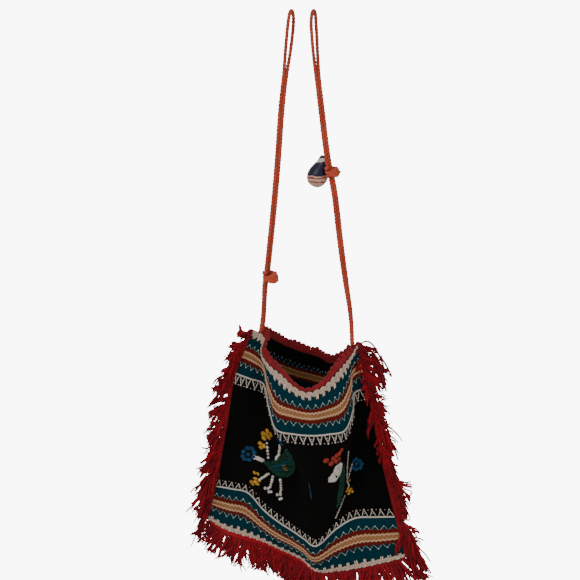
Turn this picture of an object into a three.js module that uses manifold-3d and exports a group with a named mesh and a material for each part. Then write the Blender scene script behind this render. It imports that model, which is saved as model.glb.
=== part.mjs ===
// Embroidered shoulder bag of felted wool, hanging open from two doubled cords.
// Millimetres, +Z up, the viewer on the -Y side. The origin is the hook that both cord loops hang on.

import * as THREE from "three";
import Module from "manifold-3d";
import { mergeVertices } from "three/addons/utils/BufferGeometryUtils.js";

const wasm = await Module();
wasm.setup();

// Driving dimensions
const PANEL_WIDTH = 280;
const PANEL_HEIGHT = 280;
const HUNG_WIDTH = 260;
const FOLD_DEPTH = 80;
const MOUTH_DROP = 415;
const CLOTH = 2;
const CLEARANCE = 0.3;
// Pieces sewn on the cloth stand clear of its creases by more
const SEWN_CLEARANCE = 0.95;

const SCALLOP_PITCH = 10;
const SCALLOP_HEIGHT = 9;
const SCALLOP_DIP = 4;
const EDGING_THICKNESS = 2;
const EDGING_MARGIN = 12;
// How far the front scallops curl into the mouth, as a share of their rise
const EDGING_CURL = 1.3;

const TRIM_WIDTH = 7;
const TRIM_THICKNESS = 1.2;

const HEADING_WIDTH = 9;
const HEADING_THICKNESS = 3;
const LOCK_LENGTH = 32;
const LOCK_PITCH = 12;
const LOCK_TIP = 0.9;
const FRINGE_SET = 1.2;

const CORD_DIAMETER = 3.6;
const CORD_STEPS = 80;
const CORD_SIDES = 8;

const KNOT_WIDTH = 17;
const KNOT_DEPTH = 15;
const KNOT_HEIGHT = 15;

const CHARM_WIDTH = 28;
const CHARM_HEIGHT = 42;
const CHARM_TILT = 25;

// The draped cloth. Each row is one fold line of a panel where it crosses a level: its share of
// the cloth's width from the left seam, then its place as shares of HUNG_WIDTH across, of
// FOLD_DEPTH out towards the viewer, and of PANEL_HEIGHT down from the mouth's left corner.
const [SHARE, ACROSS, OUT, DOWN] = [0, 1, 2, 3];

const FRONT_RIM = [
  [0.0, -0.25, 0.0, -0.015],
  [0.1, -0.19, -0.08, 0.035],
  [0.18, -0.2, 0.08, 0.085],
  [0.28, -0.165, 0.33, 0.125],
  [0.38, -0.1, 0.53, 0.162],
  [0.46, -0.05, 0.63, 0.202],
  [0.54, 0.02, 0.7, 0.23],
  [0.62, 0.095, 0.67, 0.208],
  [0.72, 0.16, 0.53, 0.158],
  [0.82, 0.21, 0.33, 0.12],
  [0.92, 0.25, 0.12, 0.085],
  [1.0, 0.275, 0.0, 0.045],
];
const FRONT_BAND = [
  [0.0, -0.33, -0.15, 0.196],
  [0.1, -0.26, -0.07, 0.216],
  [0.18, -0.19, -0.1, 0.245],
  [0.28, -0.16, 0.28, 0.325],
  [0.38, -0.12, 0.6, 0.408],
  [0.46, -0.04, 0.71, 0.418],
  [0.54, 0.05, 0.76, 0.422],
  [0.62, 0.13, 0.72, 0.419],
  [0.72, 0.21, 0.55, 0.413],
  [0.82, 0.25, 0.28, 0.341],
  [0.92, 0.26, 0.05, 0.278],
  [1.0, 0.33, -0.02, 0.262],
];
const FRONT_MIDDLE = [
  [0.0, -0.39, -0.37, 0.506],
  [0.1, -0.3, -0.23, 0.535],
  [0.18, -0.22, -0.1, 0.575],
  [0.28, -0.12, -0.02, 0.635],
  [0.38, -0.02, 0.05, 0.67],
  [0.46, 0.01, 0.4, 0.687],
  [0.54, 0.06, 0.62, 0.694],
  [0.62, 0.15, 0.62, 0.684],
  [0.72, 0.2, 0.3, 0.682],
  [0.82, 0.25, 0.0, 0.66],
  [0.92, 0.32, 0.03, 0.61],
  [1.0, 0.4, 0.06, 0.576],
];
const FRONT_LOWER = [
  [0.0, -0.45, -0.6, 0.815],
  [0.1, -0.36, -0.42, 0.812],
  [0.18, -0.28, -0.28, 0.815],
  [0.28, -0.19, -0.03, 0.88],
  [0.38, -0.11, 0.15, 0.922],
  [0.46, -0.04, 0.28, 0.95],
  [0.54, 0.02, 0.45, 0.972],
  [0.62, 0.07, 0.53, 0.996],
  [0.72, 0.17, 0.4, 0.93],
  [0.82, 0.27, 0.3, 0.888],
  [0.92, 0.38, 0.27, 0.885],
  [1.0, 0.48, 0.2, 0.891],
];
const HEM = [
  [0.0, -0.49, -0.95, 1.008],
  [0.1, -0.39, -0.63, 1.035],
  [0.18, -0.31, -0.48, 1.045],
  [0.28, -0.21, -0.43, 1.067],
  [0.38, -0.12, -0.36, 1.098],
  [0.46, -0.05, -0.27, 1.117],
  [0.54, 0.01, -0.12, 1.13],
  [0.62, 0.08, 0.03, 1.17],
  [0.72, 0.19, 0.15, 1.158],
  [0.82, 0.31, 0.25, 1.13],
  [0.92, 0.42, 0.27, 1.103],
  [1.0, 0.53, 0.2, 1.083],
];
const BACK_RIM = [
  [0.0, -0.25, 0.0, -0.015],
  [0.15, -0.17, -0.42, 0.047],
  [0.3, -0.1, -0.75, 0.108],
  [0.45, -0.01, -0.9, 0.153],
  [0.6, 0.09, -0.88, 0.182],
  [0.75, 0.16, -0.65, 0.195],
  [0.88, 0.23, -0.3, 0.14],
  [1.0, 0.275, 0.0, 0.045],
];
const BACK_BAND = [
  [0.0, -0.33, -0.15, 0.196],
  [0.15, -0.22, -0.52, 0.27],
  [0.3, -0.12, -0.74, 0.33],
  [0.45, -0.02, -0.85, 0.37],
  [0.6, 0.09, -0.84, 0.39],
  [0.75, 0.19, -0.66, 0.39],
  [0.88, 0.27, -0.36, 0.34],
  [1.0, 0.33, -0.02, 0.262],
];
const BACK_MIDDLE = [
  [0.0, -0.39, -0.37, 0.506],
  [0.15, -0.29, -0.68, 0.55],
  [0.3, -0.16, -0.72, 0.61],
  [0.45, -0.03, -0.78, 0.65],
  [0.6, 0.1, -0.76, 0.67],
  [0.75, 0.22, -0.62, 0.67],
  [0.88, 0.32, -0.38, 0.64],
  [1.0, 0.4, 0.06, 0.576],
];
const BACK_LOWER = [
  [0.0, -0.45, -0.6, 0.815],
  [0.15, -0.34, -0.8, 0.83],
  [0.3, -0.2, -0.82, 0.87],
  [0.45, -0.06, -0.78, 0.91],
  [0.6, 0.07, -0.6, 0.94],
  [0.75, 0.21, -0.38, 0.94],
  [0.88, 0.35, -0.16, 0.91],
  [1.0, 0.48, 0.2, 0.891],
];

// The levels as shares of the cloth's height from the rim: rim, foot of the mouth band, middle,
// head of the hem band, hem
const LEVELS = [0, 0.21, 0.5, 0.79, 1];
const FRONT = [FRONT_RIM, FRONT_BAND, FRONT_MIDDLE, FRONT_LOWER, HEM];
const BACK = [BACK_RIM, BACK_BAND, BACK_MIDDLE, BACK_LOWER, HEM];

// A small step along the cloth, as a share, for slopes
const STEP = 0.004;

// Cubic through the values at the knots. The slope at each knot is that of the parabola
// through it and its neighbours.
function slopeAt(knots, values, i) {
  const last = knots.length - 1;
  const centre = Math.min(Math.max(i, 1), last - 1);
  const before = knots[centre] - knots[centre - 1];
  const after = knots[centre + 1] - knots[centre];
  const left = values[centre].clone().sub(values[centre - 1]).divideScalar(before);
  const right = values[centre + 1].clone().sub(values[centre]).divideScalar(after);
  const middle = left.clone().multiplyScalar(after).addScaledVector(right, before);
  middle.divideScalar(before + after);
  if (i === 0) {
    return left.multiplyScalar(2).sub(middle);
  }
  if (i === last) {
    return right.multiplyScalar(2).sub(middle);
  }
  return middle;
}

function smoothThrough(knots, values, t) {
  let i = 0;
  while (i < knots.length - 2 && t > knots[i + 1]) {
    i += 1;
  }
  const width = knots[i + 1] - knots[i];
  const s = (t - knots[i]) / width;
  const point = values[i].clone().multiplyScalar((1 + 2 * s) * (1 - s) ** 2);
  point.addScaledVector(values[i + 1], (3 - 2 * s) * s ** 2);
  point.addScaledVector(slopeAt(knots, values, i), width * s * (1 - s) ** 2);
  point.addScaledVector(slopeAt(knots, values, i + 1), -width * s ** 2 * (1 - s));
  return point;
}

function foldPoint(row) {
  const x = row[ACROSS] * HUNG_WIDTH;
  const y = -row[OUT] * FOLD_DEPTH;
  return new THREE.Vector3(x, y, -MOUTH_DROP - row[DOWN] * PANEL_HEIGHT);
}

// The middle of one panel's cloth before the two are held apart, u from the left seam to the
// right one and v from the rim to the hem, as shares
function drape(levels, u, v) {
  const crossings = levels.map((rows) =>
    smoothThrough(rows.map((row) => row[SHARE]), rows.map(foldPoint), u),
  );
  return smoothThrough(LEVELS, crossings, v);
}

// Level directions in which the front leaves the back where they are sewn together
function seamSide(end, v) {
  const inside = end === 0 ? STEP : 1 - STEP;
  const front = drape(FRONT, inside, v).sub(drape(FRONT, end, v)).setZ(0).normalize();
  const back = drape(BACK, inside, v).sub(drape(BACK, end, v)).setZ(0).normalize();
  const inward = front.add(back).normalize();
  const turn = end === 0 ? 1 : -1;
  return new THREE.Vector3(inward.y * turn, -inward.x * turn, 0);
}

function hemSide(u) {
  const from = Math.max(u - STEP, 0);
  const to = Math.min(u + STEP, 1);
  const along = drape(FRONT, to, 1).sub(drape(FRONT, from, 1)).setZ(0).normalize();
  return new THREE.Vector3(along.y, -along.x, 0);
}

// The nearest seam decides the direction, and SEAM_REACH is how far each one's say reaches
const SEAM_REACH = 0.02;

function side(u, v) {
  const direction = seamSide(0, v).divideScalar(u + SEAM_REACH);
  direction.addScaledVector(seamSide(1, v), 1 / (1 - u + SEAM_REACH));
  direction.addScaledVector(hemSide(u), 1 / (1 - v + SEAM_REACH));
  return direction.normalize();
}

const middles = new Map();

function clothMiddle(levels, u, v) {
  const key = `${levels === FRONT} ${u.toFixed(6)} ${v.toFixed(6)}`;
  if (!middles.has(key)) {
    const apart = ((CLOTH + CLEARANCE) / 2) * (levels === FRONT ? 1 : -1);
    middles.set(key, drape(levels, u, v).addScaledVector(side(u, v), apart));
  }
  return middles.get(key).clone();
}

// The cloth's normal, pointing away from the viewer
function clothNormal(levels, u, v) {
  const [left, right] = [Math.max(u - STEP, 0), Math.min(u + STEP, 1)];
  const [above, below] = [Math.max(v - STEP, 0), Math.min(v + STEP, 1)];
  const along = clothMiddle(levels, right, v).sub(clothMiddle(levels, left, v));
  const down = clothMiddle(levels, u, below).sub(clothMiddle(levels, u, above));
  return along.cross(down).normalize();
}

function clothPoint(levels, u, v, offset) {
  return clothMiddle(levels, u, v).addScaledVector(clothNormal(levels, u, v), offset);
}

// A closed box of columns by rows whose vertices move to place(across, through, down), where
// each share runs from 0 to 1: left to right, front to back and top to bottom
function shapedBox(columns, rows, place) {
  const box = new THREE.BoxGeometry(1, 1, 1, columns, 1, rows);
  box.deleteAttribute("normal");
  box.deleteAttribute("uv");
  const solid = mergeVertices(box, 1e-4);
  const points = solid.attributes.position;
  for (let i = 0; i < points.count; i += 1) {
    const point = place(points.getX(i) + 0.5, points.getY(i) + 0.5, 0.5 - points.getZ(i));
    points.setXYZ(i, point.x, point.y, point.z);
  }
  solid.computeVertexNormals();
  return solid;
}

// Rows of the cloth: the trims' edges, and even steps between them
function clothRows(steps) {
  const edge = TRIM_WIDTH / PANEL_HEIGHT;
  const rows = [0];
  for (let i = 0; i <= steps; i += 1) {
    rows.push(edge + ((1 - 2 * edge) * i) / steps);
  }
  rows.push(1);
  return rows;
}

const SCALLOPS = Math.round(PANEL_WIDTH / SCALLOP_PITCH);
const FRONT_COLUMNS = Math.round(SCALLOPS * 1.5);
const BACK_COLUMNS = SCALLOPS;
const FRONT_ROWS = clothRows(14);
const BACK_ROWS = clothRows(10);

function panel(levels, columns, rows) {
  return shapedBox(columns, rows.length - 1, (across, through, down) => {
    const v = rows[Math.round(down * (rows.length - 1))];
    return clothPoint(levels, across, v, (through - 0.5) * CLOTH);
  });
}

// A flat trim on the outer face of the cloth, from the row above to the row below
function trim(levels, columns, above, below) {
  const outward = levels === FRONT ? -1 : 1;
  const inner = CLOTH / 2 + SEWN_CLEARANCE;
  return shapedBox(columns, 1, (across, through, down) => {
    const height = outward < 0 ? 1 - through : through;
    const v = down < 0.5 ? above : below;
    return clothPoint(levels, across, v, outward * (inner + height * TRIM_THICKNESS));
  });
}

// Point of the rim, straight between the cloth's columns as its edge is
function rimAt(levels, columns, u, read) {
  const column = Math.min(Math.floor(u * columns + 1e-6), columns - 1);
  const left = read(levels, column / columns, 0);
  const right = read(levels, (column + 1) / columns, 0);
  return left.lerp(right, u * columns - column);
}

function upward(levels, u) {
  return clothMiddle(levels, u, 0).sub(clothMiddle(levels, u, STEP)).normalize();
}

// Crochet scallops that stand on the rim and leave the corners to the cords
function edging(levels, columns, curl) {
  const steps = SCALLOPS * 3;
  const skipped = Math.ceil((EDGING_MARGIN / PANEL_WIDTH) * steps);
  const used = steps - 2 * skipped;
  return shapedBox(used, 1, (across, through, down) => {
    const step = skipped + Math.round(across * used);
    const u = step / steps;
    const normal = rimAt(levels, columns, u, clothNormal).normalize();
    const up = rimAt(levels, columns, u, upward).normalize();
    up.addScaledVector(normal, (1 - down) * curl * Math.sin(Math.PI * u)).normalize();
    const peak = step % 3 === 0 ? SCALLOP_HEIGHT - SCALLOP_DIP : SCALLOP_HEIGHT;
    const rise = SEWN_CLEARANCE + (1 - down) * peak;
    return rimAt(levels, columns, u, clothMiddle)
      .addScaledVector(up, rise)
      .addScaledVector(normal, (through - 0.5) * EDGING_THICKNESS);
  });
}

// A repeatable scatter from -1 to 1
function scatter(seed) {
  const wave = Math.sin(seed * 12.9898) * 43758.5453;
  return 2 * (wave - Math.floor(wave)) - 1;
}

// A run of a seam for a fringe: the point, the way out of the cloth, and the way along
function sideSeam(end) {
  return (v) => {
    const [above, below] = [Math.max(v - STEP, 0), Math.min(v + STEP, 1)];
    const across = seamSide(end, v);
    const turn = end === 0 ? 1 : -1;
    const out = new THREE.Vector3(across.y * turn, -across.x * turn, 0);
    const along = drape(FRONT, end, below).sub(drape(FRONT, end, above)).normalize();
    return { point: drape(FRONT, end, v), out, along };
  };
}

function hemSeam(u) {
  const [left, right] = [Math.max(u - STEP, 0), Math.min(u + STEP, 1)];
  const front = drape(FRONT, u, 1).sub(drape(FRONT, u, 1 - STEP)).normalize();
  const back = drape(BACK, u, 1).sub(drape(BACK, u, 1 - STEP)).normalize();
  const along = drape(FRONT, right, 1).sub(drape(FRONT, left, 1)).normalize();
  return { point: drape(FRONT, u, 1), out: front.add(back).normalize(), along };
}

// Heading and locks, fused. Odd columns are the locks' middles, and even ones the notches
// between them. The locks lean out of the seam by the share called lean, and fall by the rest.
function fringe(seam, from, to, length, lean, seed) {
  const locks = Math.round((Math.abs(to - from) * length) / LOCK_PITCH);
  const fall = new THREE.Vector3(0, 0, -Math.sqrt(1 - lean ** 2));
  const [HEAD, FOOT, TIP] = [0, 1, 3];
  const notch = [0, 0, 0.12, 0.2];
  const lock = [0, 0, 0.5, 1];
  const thickness = [HEADING_THICKNESS, HEADING_THICKNESS, HEADING_THICKNESS * 0.8, LOCK_TIP];
  return shapedBox(2 * locks, TIP, (across, through, down) => {
    const column = Math.round(across * 2 * locks);
    const row = Math.round(down * TIP);
    const { point, out, along } = seam(from + (to - from) * across);
    const thick = along.clone().cross(out).normalize();
    const reach = (column % 2 === 1 ? lock : notch)[row];
    const grown = LOCK_LENGTH * reach * (1 + 0.22 * scatter(seed + column));
    const sway = reach * LOCK_PITCH * 0.35 * scatter(2 * seed + column);
    const lift = reach * HEADING_THICKNESS * scatter(3 * seed + column);
    const heading = row === HEAD ? FRINGE_SET : FRINGE_SET + HEADING_WIDTH;
    return point
      .addScaledVector(out, heading + (row > FOOT ? grown * lean : 0))
      .addScaledVector(fall, row > FOOT ? grown : 0)
      .addScaledVector(along, sway)
      .addScaledVector(thick, lift + (through - 0.5) * thickness[row]);
  });
}

// The cords' routes, chosen by hand: up from the corner in front, over the hook, and down
// behind to the same corner
const CORD_LEFT_ROUTE = [
  [-56.8, 8.4, -424],
  [-55, 8.9, -416],
  [-53.2, 8.4, -407],
  [-51.8, 6.2, -396],
  [-50.4, 3.2, -376],
  [-49.6, 0.5, -352],
  [-48.2, -1, -340],
  [-46.6, -1.5, -328],
  [-42.6, -1, -291],
  [-37, -0.5, -234],
  [-32.5, 0, -180],
  [-28.5, 0, -124],
  [-23.5, -0.5, -78],
  [-21.8, -2.5, -56],
  [-19.6, -5, -30],
  [-17.9, -6.6, -14],
  [-16, -5.4, -3.2],
  [-14, 0, 0],
  [-12, 5.4, -3.2],
  [-11.2, 6.6, -14],
  [-12.4, 5, -30],
  [-15.8, 2.5, -56],
  [-19.4, 0.5, -78],
  [-24.5, 0, -124],
  [-28.5, 0, -180],
  [-33, 0.6, -234],
  [-38.7, 1.4, -291],
  [-42.7, 2, -328],
  [-44.4, 2.8, -340],
  [-46.4, 3.8, -352],
  [-48.2, 6.8, -376],
  [-49.3, 9.4, -396],
  [-50.7, 11.5, -407],
  [-52.4, 12.1, -416],
  [-54.2, 11.6, -424],
];
const CORD_RIGHT_ROUTE = [
  [65.7, -3.4, -441.6],
  [65.3, -2.2, -433],
  [64.7, -0.6, -421],
  [63.9, 0.4, -404],
  [61.6, 0.8, -384],
  [55, 0, -346],
  [47.3, 0, -293],
  [40.3, 0, -236],
  [36.4, 0, -214],
  [33.7, 0, -202],
  [31.2, 0, -190],
  [28.7, 0, -174],
  [22.4, 0, -124],
  [17, -0.6, -80],
  [13.8, -2.5, -54],
  [11.6, -5, -30],
  [10.8, -6.6, -14],
  [12, -5.4, -3.2],
  [14, 0, 0],
  [16, 5.4, -3.2],
  [17, 6.6, -14],
  [18, 5, -30],
  [19.2, 2.5, -54],
  [21, 0.6, -80],
  [26.4, 0, -124],
  [32.7, 0, -174],
  [35.2, 0, -190],
  [37.7, 0, -202],
  [40.4, 0, -214],
  [44.3, 0, -236],
  [51.2, 0, -293],
  [58.3, 1.6, -346],
  [63.6, 4.2, -384],
  [65.4, 4.2, -404],
  [66.2, 3.1, -421],
  [66.6, 1.6, -433],
  [66.9, 0.5, -441.6],
];

function cord(route, diameter) {
  const points = route.map((point) => new THREE.Vector3(...point));
  const path = new THREE.CatmullRomCurve3(points, false, "centripetal");
  const section = new THREE.Shape();
  for (let i = 0; i < CORD_SIDES; i += 1) {
    const angle = (2 * Math.PI * i) / CORD_SIDES;
    const [x, y] = [(diameter / 2) * Math.cos(angle), (diameter / 2) * Math.sin(angle)];
    if (i === 0) {
      section.moveTo(x, y);
    } else {
      section.lineTo(x, y);
    }
  }
  section.closePath();
  return new THREE.ExtrudeGeometry(section, { steps: CORD_STEPS, extrudePath: path });
}

function toSolid(geometry) {
  const bare = geometry.clone();
  bare.deleteAttribute("normal");
  bare.deleteAttribute("uv");
  const merged = mergeVertices(bare, 1e-4);
  const vertProperties = new Float32Array(merged.attributes.position.array);
  const triVerts = new Uint32Array(merged.index.array);
  return new wasm.Manifold(new wasm.Mesh({ numProp: 3, vertProperties, triVerts }));
}

function toGeometry(solid) {
  const mesh = solid.getMesh();
  const geometry = new THREE.BufferGeometry();
  geometry.setAttribute("position", new THREE.BufferAttribute(mesh.vertProperties, 3));
  geometry.setIndex(new THREE.BufferAttribute(mesh.triVerts, 1));
  geometry.computeVertexNormals();
  return geometry;
}

// A lumpy knot with the way of both strands left clear through it
function knot(route, centre) {
  const ball = new THREE.SphereGeometry(0.5, 14, 10);
  const points = ball.attributes.position;
  for (let i = 0; i < points.count; i += 1) {
    const [x, y, z] = [points.getX(i), points.getY(i), points.getZ(i)];
    const lump = 1 + 0.12 * Math.sin(9 * x + 2 * z) * Math.cos(8 * z - 3 * y);
    points.setXYZ(i, x * KNOT_WIDTH * lump, y * KNOT_DEPTH * lump, z * KNOT_HEIGHT * lump);
  }
  ball.translate(...centre);
  const way = toSolid(cord(route, CORD_DIAMETER + 2 * CLEARANCE));
  return toGeometry(toSolid(ball).subtract(way));
}

// Pear-shaped pendant: height up the axis and radius, as shares of its height and width
const CHARM_PROFILE = [
  [0, 0],
  [0.02, 0.2],
  [0.1, 0.38],
  [0.26, 0.49],
  [0.42, 0.5],
  [0.57, 0.43],
  [0.7, 0.31],
  [0.8, 0.22],
  [0.93, 0.21],
  [1, 0.16],
  [1, 0],
];

function charm(place) {
  const profile = CHARM_PROFILE.map(
    ([height, radius]) => new THREE.Vector2(radius * CHARM_WIDTH, (height - 0.5) * CHARM_HEIGHT),
  );
  const body = new THREE.LatheGeometry(profile, 16);
  body.rotateX(Math.PI / 2);
  body.rotateY(THREE.MathUtils.degToRad(CHARM_TILT));
  body.translate(...place);
  return body;
}

const KNOT_LEFT_PLACE = [-43.2, 0.6, -340];
const KNOT_RIGHT_PLACE = [36.4, 0, -203];
const CHARM_PLACE = [22.5, 14.5, -205];

const WOOL = { color: 0x14100f, roughness: 0.95, metalness: 0 };
const RED_YARN = { color: 0xa01520, roughness: 0.9, metalness: 0 };
const PALE_YARN = { color: 0xc9b3a8, roughness: 0.9, metalness: 0 };
const CORD_YARN = { color: 0xb8402a, roughness: 0.85, metalness: 0 };
const PAINTED = { color: 0x1c2440, roughness: 0.35, metalness: 0 };

const bag = new THREE.Group();

function add(name, geometry, look) {
  const mesh = new THREE.Mesh(geometry, new THREE.MeshStandardMaterial(look));
  mesh.name = name;
  bag.add(mesh);
}

add("front_panel", panel(FRONT, FRONT_COLUMNS, FRONT_ROWS), WOOL);
add("back_panel", panel(BACK, BACK_COLUMNS, BACK_ROWS), WOOL);
add("front_edging", edging(FRONT, FRONT_COLUMNS, EDGING_CURL), RED_YARN);
add("back_edging", edging(BACK, BACK_COLUMNS, 0), RED_YARN);
add("front_mouth_trim", trim(FRONT, FRONT_COLUMNS, 0, FRONT_ROWS[1]), PALE_YARN);
add("back_mouth_trim", trim(BACK, BACK_COLUMNS, 0, BACK_ROWS[1]), PALE_YARN);
add("front_hem_trim", trim(FRONT, FRONT_COLUMNS, FRONT_ROWS.at(-2), 1), PALE_YARN);
add("back_hem_trim", trim(BACK, BACK_COLUMNS, BACK_ROWS.at(-2), 1), PALE_YARN);
add("fringe_left", fringe(sideSeam(0), 0.005, 0.985, PANEL_HEIGHT, 0.75, 1), RED_YARN);
add("fringe_right", fringe(sideSeam(1), 0.005, 0.985, PANEL_HEIGHT, 0.7, 2), RED_YARN);
add("fringe_bottom_left", fringe(hemSeam, 0.015, 0.595, PANEL_WIDTH, 0.3, 3), RED_YARN);
add("fringe_bottom_right", fringe(hemSeam, 0.605, 0.985, PANEL_WIDTH, 0.3, 4), RED_YARN);
add("cord_left", cord(CORD_LEFT_ROUTE, CORD_DIAMETER), CORD_YARN);
add("cord_right", cord(CORD_RIGHT_ROUTE, CORD_DIAMETER), CORD_YARN);
add("knot_left", knot(CORD_LEFT_ROUTE, KNOT_LEFT_PLACE), CORD_YARN);
add("knot_right", knot(CORD_RIGHT_ROUTE, KNOT_RIGHT_PLACE), CORD_YARN);
add("charm", charm(CHARM_PLACE), PAINTED);

export default bag;
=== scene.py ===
from math import cos, pi, radians, sin

import bpy
import numpy as np
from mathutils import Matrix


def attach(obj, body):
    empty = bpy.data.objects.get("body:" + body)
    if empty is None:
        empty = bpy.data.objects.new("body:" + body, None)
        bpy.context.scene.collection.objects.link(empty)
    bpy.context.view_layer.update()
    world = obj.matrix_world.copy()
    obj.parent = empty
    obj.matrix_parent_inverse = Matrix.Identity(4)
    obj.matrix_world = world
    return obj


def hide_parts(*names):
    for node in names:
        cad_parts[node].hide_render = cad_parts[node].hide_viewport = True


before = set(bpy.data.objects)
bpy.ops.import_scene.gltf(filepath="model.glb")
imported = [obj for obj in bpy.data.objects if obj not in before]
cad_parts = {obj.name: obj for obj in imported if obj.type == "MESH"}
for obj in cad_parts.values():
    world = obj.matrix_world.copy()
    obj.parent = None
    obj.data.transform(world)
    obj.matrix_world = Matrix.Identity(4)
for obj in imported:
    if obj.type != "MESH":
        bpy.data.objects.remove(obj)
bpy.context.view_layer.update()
bpy.ops.object.select_all(action="DESELECT")


# The camera looks at the front of the bag from twelve degrees above it, square on to the wall
# behind, as the bag is seen when it hangs a little below eye height.
CAMERA_PLACE = (-0.0156, -1.9563, 0.0582)
CAMERA_TILT = radians(78)
CAMERA_LENS = 95.5
CAMERA_FILM = 36
bpy.ops.object.camera_add(location=CAMERA_PLACE, rotation=(CAMERA_TILT, 0, 0))
camera = bpy.context.object
camera.name = "camera"
camera.data.lens = CAMERA_LENS
camera.data.sensor_width = CAMERA_FILM
bpy.context.scene.camera = camera


# The two carrying cords: each is one length of orange-red wool cord, spun from two plies, doubled
# over the hook, and sewn into a corner of the mouth with both its ends.
CORD_DIAMETER = 0.0040
CORD_SWELL = 1.18
CORD_TWIST = 0.0092
CORD_STEP = 0.0009
CORD_SIDES = 12
CORD_LEFT_ROUTE = [
    (-0.0568, 0.0084, -0.424),
    (-0.055, 0.0089, -0.416),
    (-0.0532, 0.0084, -0.407),
    (-0.0518, 0.0062, -0.396),
    (-0.0504, 0.0032, -0.376),
    (-0.0496, 0.0005, -0.352),
    (-0.0482, -0.001, -0.340),
    (-0.0466, -0.0015, -0.328),
    (-0.0426, -0.001, -0.291),
    (-0.037, -0.0005, -0.234),
    (-0.0325, 0, -0.180),
    (-0.0285, 0, -0.124),
    (-0.0235, -0.0005, -0.078),
    (-0.0218, -0.0025, -0.056),
    (-0.0196, -0.005, -0.030),
    (-0.0179, -0.0066, -0.014),
    (-0.016, -0.0054, -0.0032),
    (-0.014, 0, 0),
    (-0.012, 0.0054, -0.0032),
    (-0.0112, 0.0066, -0.014),
    (-0.0124, 0.005, -0.030),
    (-0.0158, 0.0025, -0.056),
    (-0.0194, 0.0005, -0.078),
    (-0.0245, 0, -0.124),
    (-0.0285, 0, -0.180),
    (-0.033, 0.0006, -0.234),
    (-0.0387, 0.0014, -0.291),
    (-0.0427, 0.002, -0.328),
    (-0.0444, 0.0028, -0.340),
    (-0.0464, 0.0038, -0.352),
    (-0.0482, 0.0068, -0.376),
    (-0.0493, 0.0094, -0.396),
    (-0.0507, 0.0115, -0.407),
    (-0.0524, 0.0121, -0.416),
    (-0.0542, 0.0116, -0.424),
]
CORD_RIGHT_ROUTE = [
    (0.0657, -0.0034, -0.4416),
    (0.0653, -0.0022, -0.433),
    (0.0647, -0.0006, -0.421),
    (0.0639, 0.0004, -0.404),
    (0.0616, 0.0008, -0.384),
    (0.055, 0, -0.346),
    (0.0473, 0, -0.293),
    (0.0403, 0, -0.236),
    (0.0364, 0, -0.214),
    (0.0337, 0, -0.202),
    (0.0312, 0, -0.190),
    (0.0287, 0, -0.174),
    (0.0224, 0, -0.124),
    (0.017, -0.0006, -0.080),
    (0.0138, -0.0025, -0.054),
    (0.0116, -0.005, -0.030),
    (0.0108, -0.0066, -0.014),
    (0.012, -0.0054, -0.0032),
    (0.014, 0, 0),
    (0.016, 0.0054, -0.0032),
    (0.017, 0.0066, -0.014),
    (0.018, 0.005, -0.030),
    (0.0192, 0.0025, -0.054),
    (0.021, 0.0006, -0.080),
    (0.0264, 0, -0.124),
    (0.0327, 0, -0.174),
    (0.0352, 0, -0.190),
    (0.0377, 0, -0.202),
    (0.0404, 0, -0.214),
    (0.0443, 0, -0.236),
    (0.0512, 0, -0.293),
    (0.0583, 0.0016, -0.346),
    (0.0636, 0.0042, -0.384),
    (0.0654, 0.0042, -0.404),
    (0.0662, 0.0031, -0.421),
    (0.0666, 0.0016, -0.433),
    (0.0669, 0.0005, -0.4416),
]


def unit(vectors):
    return vectors / np.linalg.norm(vectors, axis=-1, keepdims=True)


def smooth_run(points, gap):
    """Points a gap apart on the smooth curve through the given points."""
    points = np.array(points, float)
    far = np.vstack([2 * points[0] - points[1], points, 2 * points[-1] - points[-2]])
    knots = np.concatenate([[0], np.cumsum(np.linalg.norm(np.diff(far, axis=0), axis=1) ** 0.5)])
    run = []
    for i in range(1, len(far) - 2):
        t0, t1, t2, t3 = knots[i - 1 : i + 3]
        t = np.linspace(t1, t2, 24, endpoint=False)[:, None]
        a = ((t1 - t) * far[i - 1] + (t - t0) * far[i]) / (t1 - t0)
        b = ((t2 - t) * far[i] + (t - t1) * far[i + 1]) / (t2 - t1)
        c = ((t3 - t) * far[i + 1] + (t - t2) * far[i + 2]) / (t3 - t2)
        ab = ((t2 - t) * a + (t - t0) * b) / (t2 - t0)
        bc = ((t3 - t) * b + (t - t1) * c) / (t3 - t1)
        run.append(((t2 - t) * ab + (t - t1) * bc) / (t2 - t1))
    run = np.vstack([*run, points[-1:]])
    along = np.concatenate([[0], np.cumsum(np.linalg.norm(np.diff(run, axis=0), axis=1))])
    even = np.linspace(0, along[-1], round(along[-1] / gap) + 1)
    return np.stack([np.interp(even, along, run[:, k]) for k in range(3)], axis=1)


def new_piece(name, points, faces, tint, material):
    """A smooth mesh piece in metres, with a tint for each point."""
    mesh = bpy.data.meshes.new(name)
    mesh.from_pydata(points, [], faces)
    layer = mesh.attributes.new("tint", "FLOAT", "POINT")
    layer.data.foreach_set("value", np.asarray(tint, np.float32).ravel())
    mesh.shade_smooth()
    mesh.materials.append(material)
    piece = bpy.data.objects.new(name, mesh)
    bpy.context.scene.collection.objects.link(piece)
    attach(piece, "root")
    return piece


def added(tree, kind, inputs=(), **settings):
    """A new shader node, with each of its inputs set to a value or linked to a socket."""
    node = tree.nodes.new("ShaderNode" + kind)
    for name, value in settings.items():
        setattr(node, name, value)
    fill(tree, node, inputs)
    return node


def fill(tree, node, inputs):
    """Sets inputs to values, or links them where what is given is a socket."""
    for socket, value in dict(inputs).items():
        if isinstance(value, bpy.types.NodeSocket):
            tree.links.new(value, node.inputs[socket])
        else:
            node.inputs[socket].default_value = value


def maths(tree, operation, *values):
    return added(tree, "Math", enumerate(values), operation=operation).outputs[0]


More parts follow.
